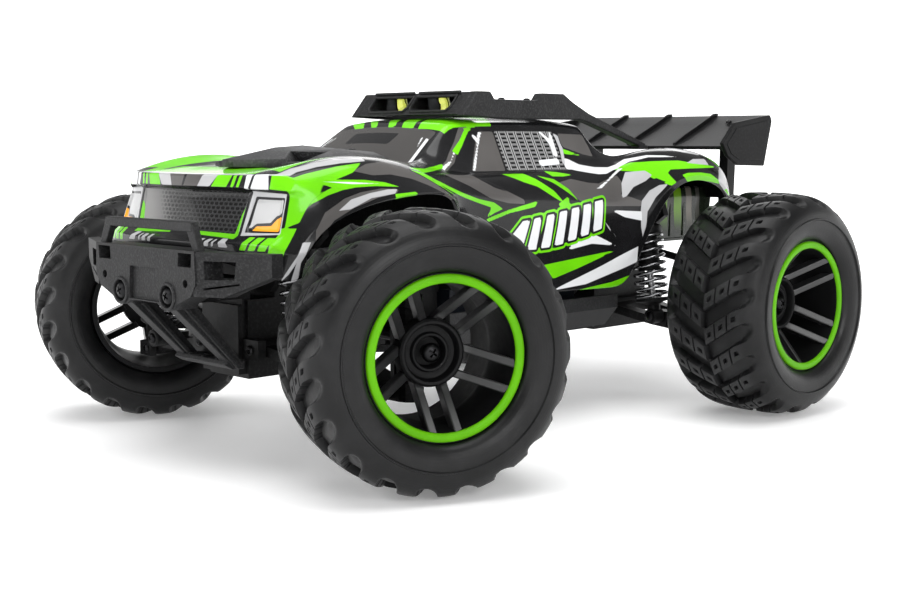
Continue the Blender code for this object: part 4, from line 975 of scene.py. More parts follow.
# The same on the nose, as (x, z)
NOSE_SHAPES = [
    ("silver_1", 0, [(-60, 112.2), (60, 112.2), (60, 110.7), (-60, 110.7)]),
    ("grey_1", 0, [(-30, 110.6), (14, 110.6), (12, 106.3), (-32, 106.3)]),
    ("dark_1", 0, [(-0.8, 110.6), (0.9, 110.6), (-0.4, 106.3), (-1.8, 106.3)]),
]
for _side in (-1, 1):
    NOSE_SHAPES += [(layer, grown, on_side(_side, corners)) for layer, grown, corners in (
        ("silver_1", 0, [(11, 110.6), (20, 110.6), (16, 106.3), (8.6, 106.3)]),
        ("lime_1", 0, [(20, 110.6), (28, 110.6), (25.6, 106.3), (17, 106.3)]),
        ("lime_1", 0, [(29, 110.6), (30.6, 110.6), (29.4, 106.3), (27.8, 106.3)]),
        ("lime_1", 0, [(32, 110.6), (33.4, 110.6), (32.2, 106.3), (30.8, 106.3)]),
        ("white_1", 0, [(35.4, 111), (44.4, 112.6), (46, 105.6), (35, 105.6)]),
        ("dark_2", 0, [(38.2, 111.4), (39.4, 111.6), (38, 105.6), (36.8, 105.6)]),
        ("lime_1", 0, [(46, 112.6), (57, 108), (60, 96), (54, 92), (52.4, 105.2), (46.4, 105.8)]),
        ("lime_1", 0, [(52.4, 92), (58, 92), (56, 72), (53, 72)]),
        ("silver_2", 0, [(37.2, 105.1), (51.6, 104.1), (53.2, 89.8), (35.2, 88.8)]),
        ("dark_3", 0.2, [(38.8, 102.9), (51.2, 102.6), (52.6, 90.5), (37.2, 90.2)]),
        ("pearl_1", 0, [(39.5, 102.2), (51, 102), (51.7, 97), (49.6, 96.6), (47.6, 94), (41.4, 93.6),
                        (38.4, 91.4)]),
        ("amber_1", 0, [(39.8, 90.9), (52.4, 90.9), (52, 96), (50.2, 95.6), (48.2, 92.9), (41.6, 92.6)]),
        ("lime_2", 0, [(8, 89.8), (31.0, 89.4), (32.8, 96.6), (34.8, 100.4), (33.6, 87.6), (8, 88.4)]),
        ("lime_1", 0, [(41, 88.6), (44, 88.6), (42.4, 84), (39.4, 84)]),
        ("lime_1", 0, [(45.2, 88.6), (48.4, 88.6), (46.8, 84), (43.6, 84)]),
        ("lime_1", 0, [(49.4, 88.6), (53, 88.6), (51.4, 84), (48, 84)]),
        ("silver_1", 0, [(16, 87.2), (18, 87.2), (18, 84.6), (16, 84.6)]),
        ("silver_1", 0, [(20, 87.2), (22.6, 87.2), (22.6, 84.6), (20, 84.6)]),
        ("silver_1", 0, [(24.2, 87.2), (25.4, 87.2), (25.4, 84.6), (24.2, 84.6)]),
        ("silver_1", 0, [(27.4, 87.6), (30.6, 87.6), (33.6, 84.6), (28.6, 84.6)]),
    )]

NET_SHAPE = [(-11, 110.9), (-11, 127.6), (26, 127.6), (26.4, 110.9)]
GRILLE_SHAPE = [(-35.4, 104.6), (35.4, 104.6), (33.4, 88.8), (-33.4, 88.8)]
WINDOWS = [[(-34, 109.8), (-21, 127.4), (-18, 128.4), (26, 128.4), (28.6, 126), (28, 110.6)],
           [(29, 127.4), (48.4, 127.2), (51, 121), (50, 115.6), (42.5, 116.4), (29, 120)]]
LAMP_SHAPE = [(38.2, 102.8), (50.2, 102.6), (52.2, 90.4), (39.4, 90.4), (37.4, 94)]
# How deep the windows, the headlights and the grille are sunk into the shell
GLASS_SUNK = 0.55
LAMP_SUNK = 0.7
GRILLE_SUNK = 0.8


def inside_by(places, corners):
    """How far each of the 2-D places lies inside a polygon, in millimetres. It is negative outside."""
    nearest = np.full(len(places), np.inf)
    within = np.zeros(len(places), bool)
    for (ax, ay), (bx, by) in zip(corners, corners[1:] + corners[:1]):
        edge = np.array((bx - ax, by - ay))
        offset = places - (ax, ay)
        share = np.clip(offset @ edge / max(edge @ edge, 1e-9), 0, 1)
        gap = offset - share[:, None] * edge
        nearest = np.minimum(nearest, np.hypot(gap[:, 0], gap[:, 1]))
        if ay != by:
            crosses = ((ay > places[:, 1]) != (by > places[:, 1]))
            crosses &= places[:, 0] < ax + (places[:, 1] - ay) * (bx - ax) / (by - ay)
            within ^= crosses
    return np.where(within, nearest, -nearest)


def body_cage(level):
    """The shell's outer surface as a smoothed mesh that keeps the cage's station and line numbers."""
    mesh = bpy.data.meshes.new("body_cage")
    shape = bmesh.new()
    station_number = shape.verts.layers.float.new("station")
    line_number = shape.verts.layers.float.new("line")
    grid = []
    for s, station in enumerate(STATIONS):
        grid.append([])
        for k, point in enumerate(station):
            vertex = shape.verts.new(Vector(point) * MM)
            vertex[station_number], vertex[line_number] = s, k
            grid[-1].append(vertex)
    for row, after in zip(grid, grid[1:]):
        for k in range(len(row) - 1):
            shape.faces.new((row[k], row[k + 1], after[k + 1], after[k]))
    crease = shape.edges.layers.float.new("crease_edge")
    for kind, index, first, last, value in CREASES:
        for k in range(first, last):
            if kind == "station":
                ends = (grid[index][k], grid[index][k + 1])
            else:
                ends = (grid[k][index], grid[k + 1][index])
            shape.edges.get(ends)[crease] = value
    bmesh.ops.recalc_face_normals(shape, faces=shape.faces)
    if shape.faces[0].normal.y > 0:
        bmesh.ops.reverse_faces(shape, faces=shape.faces)
    shape.to_mesh(mesh)
    shape.free()
    obj = linked("body_cage", mesh)
    mirror = obj.modifiers.new("both halves", "MIRROR")
    mirror.use_clip = True
    mirror.merge_threshold = 1e-6
    smooth = obj.modifiers.new("smooth", "SUBSURF")
    smooth.levels = level
    smooth.render_levels = level
    return joined("body_skin", [obj])


def vertex_places(mesh):
    """Where a mesh's vertices are, in millimetres."""
    places = np.empty(len(mesh.vertices) * 3)
    mesh.vertices.foreach_get("co", places)
    return places.reshape(-1, 3) / MM


def vertex_values(mesh, name):
    """A number stored at each vertex."""
    values = np.empty(len(mesh.vertices), np.float32)
    mesh.attributes[name].data.foreach_get("value", values)
    return values


def store(mesh, name, values):
    """Stores a number at each vertex, for the material to read."""
    mesh.attributes.new(name, "FLOAT", "POINT").data.foreach_set("value", values.astype(np.float32))


def move_along_normals(mesh, distances):
    """Moves each vertex along its normal by a distance in millimetres."""
    normals = np.empty(len(mesh.vertices) * 3)
    mesh.vertices.foreach_get("normal", normals)
    places = vertex_places(mesh) + normals.reshape(-1, 3) * distances[:, None]
    mesh.vertices.foreach_set("co", (places * MM).ravel())
    mesh.update()


def soft_step(values, low, high):
    """The same from low to high, for an array of values."""
    share = np.clip((values - low) / (high - low), 0, 1)
    return share * share * (3 - 2 * share)


def livery(mesh):
    """Stores how far every vertex lies inside each layer of paint, the window net and the grille."""
    places = vertex_places(mesh)
    station, line = vertex_values(mesh, "station"), vertex_values(mesh, "line")
    x, y, z = places.T
    on_cabin = np.clip(station - 9.3, 0, 1) * np.clip(17.4 - station, 0, 1)
    start = SIDE_LINE + (CABIN_LINE - SIDE_LINE) * on_cabin
    nose_region = np.minimum((NOSE_STATION - station) * 6, (6.0 - line) * 6)
    side_region = np.minimum((line - start) * 9, -nose_region)
    top_region = np.minimum(-nose_region, (start - line) * 9)
    fields = {name: np.full(len(places), -9.0) for name in LAYERS}
    groups = ((SIDE_SHAPES, np.stack((y, z), -1), side_region),
              (TOP_SHAPES, np.stack((x, y), -1), top_region),
              (NOSE_SHAPES, np.stack((x, z), -1), nose_region))
    for shapes, flat, region in groups:
        for layer, grown, corners in shapes:
            field = np.minimum(inside_by(flat, corners) + grown, region)
            fields[layer] = np.maximum(fields[layer], field)
    for name, field in fields.items():
        store(mesh, name, field)
    from_side = np.stack((y, z), -1)
    grille = np.minimum(inside_by(np.stack((x, z), -1), GRILLE_SHAPE), nose_region)
    store(mesh, "window_net", np.minimum(inside_by(from_side, NET_SHAPE), side_region))
    store(mesh, "grille", grille)
    glass = np.minimum(np.maximum(*[inside_by(from_side, pane) for pane in WINDOWS]), side_region)
    lamp = np.minimum(inside_by(np.stack((np.abs(x), z), -1), LAMP_SHAPE), nose_region)
    sunk = GLASS_SUNK * soft_step(glass, -0.3, 0.7)
    sunk += LAMP_SUNK * soft_step(lamp, -0.3, 0.7)
    sunk += GRILLE_SUNK * soft_step(grille, -0.3, 0.9)
    move_along_normals(mesh, -sunk)


# Pitches of the printed net and of the grille's slots
STRAP_PITCH = 5.1
RUNG_PITCH = 1.75
SLOT_HEIGHT = 1.55
SLOT_PITCH = 2.7


def livery_paint():
    """Gloss paint under a clear film. Each layer of the livery is sprayed over the ones before it."""
    s = Shader("livery_paint")
    x, y, z = s.place()
    color = s.mix(s.step(s.noise(60.0, 3.0), 0.3, 0.7), (0.007, 0.007, 0.0075), (0.011, 0.011, 0.012))
    for name in LAYERS:
        paint = name.split("_")[0]
        shade = PAINTS[paint]
        if paint in ("grey", "lime"):
            drift = s.step(s.noise(28.0, 2.0), 0.25, 0.75)
            shade = s.mix(drift, [c * 0.86 for c in shade], [c * 1.14 for c in shade])
        color = s.mix(s.step(s.attribute(name), -0.12, 0.12), color, shade)
        if name == "grey_2":
            color = s.mix(window_net(s, y, z), color, (0.35, 0.35, 0.35))
    fade = s.step(s.plus(x, s.times(z, 0.5)), 14.0, 48.0)
    panel = s.mix(fade, (0.22, 0.215, 0.21), (0.030, 0.030, 0.031))
    holes = s.times(grille_holes(s, x, z), s.step(fade, 0.35, 0.8))
    panel = s.mix(holes, panel, (0.004, 0.004, 0.004))
    beside_trim = s.inverse(s.step(s.attribute("lime_2"), -0.1, 0.1))
    in_grille = s.times(s.step(s.attribute("grille"), 0.0, 0.3), beside_trim)
    color = s.mix(in_grille, color, panel)
    s.into("Base Color", color)
    peel = s.noise(220.0, 2.0, 0.5)
    s.rough(peel, 0.16, 0.24)
    s.value(coat_weight=0.22, coat_roughness=0.05, specular_ior_level=0.16)
    s.bump(peel, 0.05, 0.05)
    return s.material


def repeats(s, value, pitch, shift=0.0):
    """0 to 1 over each pitch."""
    counted = s.math("DIVIDE", s.plus(value, shift), pitch)
    return s.node("ShaderNodeMath", (0, counted), operation="FRACT").outputs[0]


def from_middle(s, share):
    """How far a repeating value is from the middle of its pitch, from 0 to a half."""
    return s.math("ABSOLUTE", s.math("SUBTRACT", share, 0.5))


def window_net(s, y, z):
    """Pale ladders of a window net: pairs of upright straps, with short rungs between them."""
    across = from_middle(s, repeats(s, y, STRAP_PITCH, 100.3))
    strap = s.times(s.step(across, 0.29, 0.33), s.inverse(s.step(across, 0.42, 0.46)))
    rung = from_middle(s, repeats(s, z, RUNG_PITCH))
    rung = s.times(s.inverse(s.step(rung, 0.2, 0.3)), s.inverse(s.step(across, 0.26, 0.3)))
    both = s.math("MAXIMUM", strap, s.times(rung, 0.55))
    return s.times(both, s.step(s.attribute("window_net"), 0.0, 0.3))


def grille_holes(s, x, z):
    """Rows of slots, staggered by half a slot."""
    row = s.math("DIVIDE", z, SLOT_HEIGHT)
    odd = s.times(s.math("GREATER_THAN", repeats(s, row, 2.0), 0.5), SLOT_PITCH / 2)
    along_row = from_middle(s, repeats(s, s.plus(x, odd), SLOT_PITCH, 100.0))
    up = from_middle(s, repeats(s, row, 1.0))
    corner = s.plus(along_row, s.times(up, 0.45))
    return s.times(s.inverse(s.step(corner, 0.38, 0.44)), s.inverse(s.step(up, 0.32, 0.38)))


def body_shell():
    """The painted outer skin, a plain black skin inside it, and a strip that closes the cut edges."""
    skin = body_cage(BODY_LEVEL)
    livery(skin.data)
    painted(skin, livery_paint())
    edge = bmesh.new()
    edge.from_mesh(skin.data)
    open_edges = [e for e in edge.edges if e.is_boundary]
    made = bmesh.ops.extrude_edge_only(edge, edges=open_edges)["geom"]
    for vertex in [item for item in made if isinstance(item, bmesh.types.BMVert)]:
        below = [other.other_vert(vertex) for other in vertex.link_edges]
        root = next(other for other in below if (other.co - vertex.co).length < 1e-9)
        vertex.co = root.co - root.normal * BODY_WALL * MM
    edge.to_mesh(skin.data)
    edge.free()
    liner = body_cage(3)
    move_along_normals(liner.data, np.full(len(liner.data.vertices), -BODY_WALL))
    liner.data.flip_normals()
    painted(liner, BLACK_NYLON_SHADE_DARKENED)
    whole = joined("body_panels", [skin, liner])
    whole.data.polygons.foreach_set("use_smooth", [True] * len(whole.data.polygons))
    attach(whole, "chassis")
    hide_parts("body_shell")


# ---------------------------------------------------------------- bonnet panel, roof rack and lamps


def cut(obj, cutters):
    """Takes the cutters out of an object and returns the result."""
    for cutter in cutters:
        modifier = obj.modifiers.new("cut", "BOOLEAN")
        modifier.operation = "DIFFERENCE"
        modifier.solver = "EXACT"
        modifier.object = cutter
    result = joined(obj.name, [obj])
    for cutter in cutters:
        bpy.data.objects.remove(cutter)
    return result


def mirrored(outline):
    """A whole outline from its half at positive x, listed from top to bottom or front to back."""
    return outline + [(-x, v) for x, v in reversed(outline)]


def placed_piece(name, parts, body, replaced=None, material=None):
    """Joins parts into one visual piece that rides on a body. A material given here covers all of them."""
    if material:
        for part in parts:
            painted(part, material)
    whole = joined(name, parts)
    whole.data.polygons.foreach_set("use_smooth", [True] * len(whole.data.polygons))
    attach(whole, body)
    if replaced:
        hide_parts(replaced)
    return whole


# The bonnet panel stands on the bonnet at BONNET_Z. These are the corners of its left half.
BONNET_Z = 113
PROW = (3.6, -123, 115.9)
PROW_BASE = (3.6, -123, 113)
WEDGE_EDGE = (17, -108, 116.2)
WEDGE_BASE = (17, -108, 113)
WEDGE_TOP = (10, -100, 119.1)
CREST_FRONT = (0, -100, 120.6)
CREST_MIDDLE = (0, -86, 121.4)
CREST_REAR = (0, -66, 119.6)
COWL_TIP = (27, -110, 114.4)
LIP_END = (22.4, -92, 118.7)
SHOULDER = (20.7, -86, 120.1)
SHOULDER_REAR = (20.7, -66, 118.7)
POCKET_INNER = (10, -93, 113)
POCKET_OUTER = (22, -85, 113)
EAVE_FRONT = (29.5, -92, 115.2)
EAVE_REAR = (30, -66, 116.2)


def bonnet_shape():
    """The prow, the two mouths under their lip and the cowls beside them, as one closed faceted shape."""
    def down(point, inward=0.0):
        return point[0] - inward, point[1], BONNET_Z

    half = [
        ((0, -123, 116.1), PROW, PROW_BASE, (0, -123, 113)),
        (PROW, PROW_BASE, WEDGE_BASE, WEDGE_EDGE),
        (PROW, WEDGE_EDGE, WEDGE_TOP),
        (PROW, WEDGE_TOP, CREST_FRONT),
        ((0, -123, 116.1), PROW, CREST_FRONT),
        (WEDGE_EDGE, WEDGE_BASE, POCKET_INNER, WEDGE_TOP),
        (WEDGE_TOP, POCKET_INNER, POCKET_OUTER, LIP_END),
        (COWL_TIP, LIP_END, POCKET_OUTER, down(COWL_TIP, 1.4)),
        (COWL_TIP, down(COWL_TIP, 1.4), down(COWL_TIP)),
        (CREST_FRONT, WEDGE_TOP, CREST_MIDDLE),
        (WEDGE_TOP, SHOULDER, CREST_MIDDLE),
        (WEDGE_TOP, LIP_END, SHOULDER),
        (CREST_MIDDLE, SHOULDER, SHOULDER_REAR, CREST_REAR),
        (COWL_TIP, EAVE_FRONT, LIP_END),
        (LIP_END, EAVE_FRONT, SHOULDER),
        (SHOULDER, EAVE_FRONT, EAVE_REAR, SHOULDER_REAR),
        (COWL_TIP, down(COWL_TIP), down(EAVE_FRONT), EAVE_FRONT),
        (EAVE_FRONT, down(EAVE_FRONT), down(EAVE_REAR), EAVE_REAR),
        (CREST_REAR, SHOULDER_REAR, EAVE_REAR, down(EAVE_REAR), down(CREST_REAR)),
        ((0, -123, 113), PROW_BASE, WEDGE_BASE, POCKET_INNER, POCKET_OUTER, down(COWL_TIP, 1.4),
         down(COWL_TIP), down(EAVE_FRONT), down(EAVE_REAR), down(CREST_REAR)),
    ]
    places, faces = {}, []
    for side in (1, -1):
        for face in half:
            corners = [(side * x, y, z) if x else (0, y, z) for x, y, z in face]
            faces.append([places.setdefault(corner, len(places)) for corner in corners])
    return mesh_object("bonnet_shape", list(places), faces, False)


def bonnet_panel():
    """The raised black panel with slatted vents behind its mouths."""
    cutters = []
    for side in (-1, 1):
        vent = [(5, -82), (17, -82), (17, -70), (5, -70)]
        cutters.append(plate("cutter", on_side(side, vent), 119.2, 126, "Z", 0))
    parts = [bevelled(cut(bonnet_shape(), cutters), 0.4, 2, 12)]
    for side in (-1, 1):
        floor = [(9, -109), (26, -109), (24, -86), (9, -93)]
        parts.append(plate("floor", on_side(side, floor), BONNET_Z, BONNET_Z + 2, "Z", 0.2))
        for y in (-79.5, -76, -72.5):
            low, high = sorted((side * 5.4, side * 16.6))
            parts.append(block("slat", (low, y - 0.6, 118.6), (high, y + 0.6, 120), 0.2))
    placed_piece("bonnet_panel", parts, "chassis", "hood_scoop", PANEL_GRAIN)


RAIL_X = 33.5
LAMP_WINDOW = [(0.9, 137.4), (2.6, 135.7), (24.2, 135.7), (26, 137.4), (26, 142.2), (0.9, 142.2)]
LAMP_CENTRE = 13.4
LAMP_MIDDLE_Z = 139


def pod_front(z, ahead=0.0):
    """The y of the lamp pod's sloping front at a height."""
    return -29.9 + (z - 134.2) * 8.6 / 9.6 - ahead


def roof_rack():
    """Two side rails over a lamp pod in front and a cross member, running down to the rear deck."""
    profile = [(-30, 133.6), (-21, 144), (-13, 144), (-10.5, 140.8), (17, 140.8), (19.5, 144), (34, 144),
               (40.5, 140.4), (51.5, 135.6), (94, 121.8), (92, 119.6), (52, 131.2), (46, 132.6), (0, 132.4)]
    parts = [plate("rail", profile, side * RAIL_X - 2.6, side * RAIL_X + 2.6, "X", 0.7) for side in (-1, 1)]
    pod = plate("pod", [(-29.9, 134.2), (-21.3, 143.8), (-13.2, 143.8), (-13.2, 134.2)], -33, 33, "X", 0)
    cutters = [plate("cutter", on_side(side, LAMP_WINDOW), -40, -16.8, "Y", 0) for side in (-1, 1)]
    parts.append(bevelled(cut(pod, cutters), 0.45, 2))
    parts.append(plate("cross", [(30, 134.2), (30, 140.9), (40, 139.7), (40, 134.2)], -33, 33, "X", 0.6))
    for side in (-1, 1):
        rim = [(x, pod_front(z, 0.2), z) for x, z in on_side(side, LAMP_WINDOW)]
        parts.append(tube("window_rim", rim, 0.6, 8, True))
        brow = [(side * x, -22.2, 143.9) for x in (1.6, 27)]
        parts.append(tube("brow", brow, 0.6, 8))
        low = min(side * 31, side * 36.1)
        parts.append(block("foot", (low, 88.5, 119.2), (low + 5.1, 95.2, 121.2), 0.4))
        rib = [(-8, 141), (-8, 136.5), (14, 136.5), (14, 141)]
        parts.append(plate("rib", rib, side * 31 - 0.6, side * 31 + 0.6, "X", 0.3))
    placed_piece("roof_rack_rails", parts, "chassis", "roof_rack", BLACK_GRAIN)
    places = [((side * RAIL_X, y, 140.8), (0, 0, 1), 1.5, 20) for side in (-1, 1) for y in (-4, 12)]
    screws("roof_rack_screws", "chassis", places, BLACK_STEEL)
    lamps()


def lamps():
    """A yellow light-emitting diode between two bright cheeks behind each clear window of the pod."""
    reflectors, chips, lenses = [], [], []
    for side in (-1, 1):
        middle = side * LAMP_CENTRE
        for near, far, shine in ((-5.0, -8.0, BLACK_STEEL), (0.9, 4.4, STEEL)):
            outline = [(middle + near, -18.2), (middle + far, -20.4), (middle + far, -19.6),
                       (middle + near, -17.4)]
            reflectors.append(painted(plate("cheek", outline, 136.6, 141.6, "Z", 0.1), shine))
        back = plate("back", on_side(side, LAMP_WINDOW), -17.4, -16.9, "Y", 0.2)
        chips.append(painted(back, BLACK_NYLON_SHADE_DARKENED))
        chip = block("chip", (middle - 3.4, -18.9, 137.0), (middle - 0.2, -17.6, 141.3), 0.3)
        chips.append(painted(chip, CHIP))
        smaller = [(LAMP_CENTRE + (x - LAMP_CENTRE) * 0.985, LAMP_MIDDLE_Z + (z - LAMP_MIDDLE_Z) * 0.97)
                   for x, z in LAMP_WINDOW]
        points = [(x, pod_front(z, ahead), z) for ahead in (-1.2, -1.8) for x, z in on_side(side, smaller)]
        lens = mesh_object("lens", points, prism_faces(len(smaller)), False)
        lenses.append(painted(lens, CLEAR))
    placed_piece("lamp_reflectors", reflectors, "chassis")
    placed_piece("lamp_chips", chips, "chassis")
    placed_piece("lamp_windows", lenses, "chassis")


# ---------------------------------------------------------------- wing


WING_PADS = (-43, 43)


def rear_wing():
    """A curved blade between two end plates, with three tall fins and a lip along its rear edge."""
    top = [(123.6, 120.6), (127, 121.9), (133, 124.2), (142, 127.9), (151, 131.8), (158, 135.2),
           (160.6, 136)]
    bottom = [(160.6, 134.4), (158.4, 133.4), (151.5, 130.1), (142.5, 126.2), (133.5, 122.6),
              (127.5, 120.2), (124, 118.9)]
    parts = [plate("blade", top + bottom, -59.2, 59.2, "X", 0.25)]
    end = [(120.8, 122), (131, 132), (161, 136), (162.6, 133), (156.5, 110.8), (134, 111.4), (125, 116)]
    step = [(124, 121.6), (132, 129.6), (158.6, 133.4), (159.8, 131.6), (154.4, 113.2), (135.2, 113.6),
            (127.6, 117)]
    for side in (-1, 1):
        parts.append(plate("end", end, side * 60.0 - 1.1, side * 60.0 + 1.1, "X", 0.5))
        parts.append(plate("step", step, side * 60.9 - 0.35, side * 60.9 + 0.45, "X", 0.3))
    for x in (-29, 0, 29):
        fin = [(124.5, 120.4), (125.2, 122.2), (133, 126.2), (142, 130), (151, 133.9), (158.6, 137.1),
               (161.2, 137.2), (161.2, 135.2), (150, 131)]
        parts.append(plate("fin", fin, x - 0.8, x + 0.8, "X", 0.3))
    for x in WING_PADS:
        parts.append(block("pad", (x - 4.5, 146.6, 128.4), (x + 4.5, 155.6, 129.8), 0.4))
    placed_piece("wing_blade", parts, "chassis", "rear_wing", WING_BLACK)
    places = [((x, 151.5, 132.6), (0, -0.4, 1), 1.6, 30) for x in WING_PADS]
    screws("wing_screws", "chassis", places, BLACK_STEEL)


# ---------------------------------------------------------------- bumper


def bumper_wing(side):
    """The swept side of the bumper: cut away below, with a rectangular window and a moulded step."""
    plan = [(32.6, -161.9), (62, -149), (62, -144), (56, -146.5), (50, -149.8), (32.6, -152.4)]
    wing = plate("wing", on_side(side, plan), 67.7, 83.8, "Z", 0)
    below = on_side(side, [(36, 60), (44, 67.8), (64, 76.5), (64, 60)])
    window = on_side(side, [(37, 74), (48, 74), (48.8, 80.6), (36.6, 80.6)])
    step = on_side(side, [(36.4, 70.2), (50, 72.4), (50, 73), (36.4, 70.9)])
    cutters = [plate("cutter", below, -170, -130, "Y", 0),
               plate("cutter", window, -165, -140, "Y", 0),
               plate("cutter", step, -163, -152, "Y", 0)]
    return cut(wing, cutters)


BOSS_X = 16
BOSS_Z = 66.5
LEG_X = 14.5


def round_pocket(x, z, radius, depth, steps):
    """A cutter for a round pocket in the bumper's face. It starts 1 mm ahead of the face."""
    profile = [(0, 0), (radius, 0), (radius, depth), (0, depth)]
    return turned("cutter", profile, (x, -163, z), (x, 0, z), steps)


def front_bumper():
    """A thick face with swept wings, a hoop on top, and two legs down to a skid plate."""
    face_half = [(33.6, 84), (34, 72), (31, 67.5), (22, 64), (19, 61.5), (13, 61.5), (9, 63.5)]
    face = plate("face", mirrored(face_half), -162, -152, "Y", 0)
    cutters = [plate("cutter", mirrored([(9.4, 76.4), (10.2, 64)]), -170, -160.6, "Y", 0),
               block("cutter", (-20, -157.5, 66), (20, -145, 80.5), 0)]
    for side in (-1, 1):
        square = on_side(side, [(23, 78), (31.4, 78), (31.8, 83), (23.4, 83)])
        cutters.append(plate("cutter", square, -163, -156, "Y", 0))
        cutters.append(round_pocket(side * 27.6, 72, 1.5, 3, 20))
        cutters.append(round_pocket(side * BOSS_X, BOSS_Z, 4.1, 3.4, 36))
    parts = [bevelled(cut(face, cutters), 0.4, 2)]
    for side in (-1, 1):
        parts.append(bevelled(bumper_wing(side), 0.45, 2))
        boss = [(4.1, 1.6), (4.1, -0.5), (4.35, -0.8), (4.95, -0.8), (5.3, -0.4), (5.4, 1.6), (4.1, 1.6)]
        parts.append(turned("boss", boss, (side * BOSS_X, -162, BOSS_Z), (side * BOSS_X, 0, BOSS_Z), 40))
        leg = [(-160, 62), (-154, 66.5), (-130, 39), (-134, 37)]
        parts.append(plate("leg", leg, side * LEG_X - 3, side * LEG_X + 3, "X", 0.4))
        flange = [(-156.5, 61.4), (-155.3, 62.6), (-131.5, 37.4), (-133, 36.6)]
        parts.append(plate("flange", flange, side * LEG_X - 4.6, side * LEG_X + 4.6, "X", 0.3))
        post = on_side(side, [(33.9, 83.6), (29.5, 93.7), (26, 93.7), (25.9, 91.2), (29.8, 83.6)])
        parts.append(plate("post", post, -160.0, -157.1, "Y", 0.35))
    parts.append(block("hoop", (-29.6, -160.2, 90.6), (29.6, -156.9, 94.2), 0.5))
    skid = [(-134.5, 36.4), (-138, 38.4), (-137, 40), (-129, 39.4), (-129, 36.2)]
    parts.append(plate("skid", skid, -17.3, 17.3, "X", 0.4))
    for x in (-9, 0, 9):
        parts.append(block("skid_rib", (x - 0.7, -136.6, 39), (x + 0.7, -129.6, 40.4), 0.3))
    parts.append(block("core", (-11, -158.5, 68), (11, -146.5, 79), 0.6))
    placed_piece("bumper_face", parts, "chassis", "front_bumper", BLACK_GRAIN)
    places = [((side * BOSS_X, -161.0, BOSS_Z), (0, -1, 0), 3.4, 45 + 20 * side) for side in (-1, 1)]
    places += [((side * 27.3, -156.6, 80.4), (0, -1, 0), 2.0, 10) for side in (-1, 1)]
    screws("bumper_screws", "chassis", places, BLACK_STEEL)


# ---------------------------------------------------------------- rear inner tub


def smoked_plastic():
    """Dark translucent green plastic, with upright bands of painted light and shade where the curved wall shows
    stripes of shading.
    """
    s = Shader("smoked_plastic")
    _, y, z = s.place()
    wander = s.plus(y, s.times(s.math("SUBTRACT", z, 90.0), 0.12))
    color = s.mix(s.step(s.noise(50.0), 0.3, 0.7), (0.010, 0.016, 0.009), (0.020, 0.028, 0.015))
    # Painted light and shade: lighter and darker upright bands that stand for the shading of the curved wall.
    for low, high, shade in ((99.0, 102.5, (0.05, 0.08, 0.03)), (104.5, 110.5, (0.14, 0.34, 0.012)),
                             (116.0, 122.0, (0.17, 0.38, 0.015)), (126.0, 130.5, (0.20, 0.18, 0.15)),
                             (134.0, 137.0, (0.10, 0.10, 0.09))):
        past_low = s.step(wander, low - 0.3, low + 0.3)
        past_high = s.step(wander, high - 0.3, high + 0.3)
        painted_shade_band = s.times(past_low, s.inverse(past_high))
        color = s.mix(s.times(painted_shade_band, s.step(z, 78.0, 92.0)), color, shade)
    s.into("Base Color", color)
    peel = s.noise(200.0, 2.0)
    s.rough(peel, 0.14, 0.24)
    s.value(coat_weight=0.3, specular_ior_level=0.2)
    s.bump(peel, 0.08, 0.06)
    return s.material


TUB_FRONT = 94
TUB_REAR = 146


def inner_tub():
    """The arch walls and the panel that joins them, with a rolled lower edge and stiffening steps."""
    half = [(0, 101), (35.4, 101), (36.6, 100), (36.9, 95), (36.3, 90), (36, 74.5), (34.8, 74.5), (35.1, 90),
            (35.6, 95), (35.2, 99.8), (0, 99.8)]
    outline = half + [(-x, z) for x, z in reversed(half) if x > 0]  # the two points at x = 0 aren't doubled
    parts = [plate("wall", outline, TUB_FRONT, TUB_REAR, "Y", 0.25)]
    for side in (-1, 1):
        low, high = sorted((side * 35.6, side * 37.0))
        edge = [(low, 74.3), (high, 74.3), (high, 75.9), (low, 75.9)]
        parts.append(plate("rolled_edge", edge, TUB_FRONT, TUB_REAR, "Y", 0.4))
        for y in (113.5, 124):
            low, high = sorted((side * 36.0, side * 36.7))
            parts.append(block("swage", (low, y - 0.8, 76.5), (high, y + 0.8, 93), 0.3))
    placed_piece("inner_tub_walls", parts, "chassis", "rear_inner_tub",
                 smoked_plastic())


# ---------------------------------------------------------------- shock absorbers

SHOCK_DY = -20.0
SHOCK_TOP = (43.0, 89.0)
SHOCK_FOOT = (50.0, 41.0)
SPRING_TURNS = 9
SPRING_RADIUS = 7.35
WIRE_RADIUS = 0.72
SPRING_START = 10.5  # below the upper eye
SEAT_HEIGHT = 8.5  # above the lower eye


def shock_ends(side, axle_y):
    """The middles of a shock absorber's upper and lower eye."""
    y = axle_y + SHOCK_DY
    return Vector((side * SHOCK_TOP[0], y, SHOCK_TOP[1])), Vector((side * SHOCK_FOOT[0], y, SHOCK_FOOT[1]))


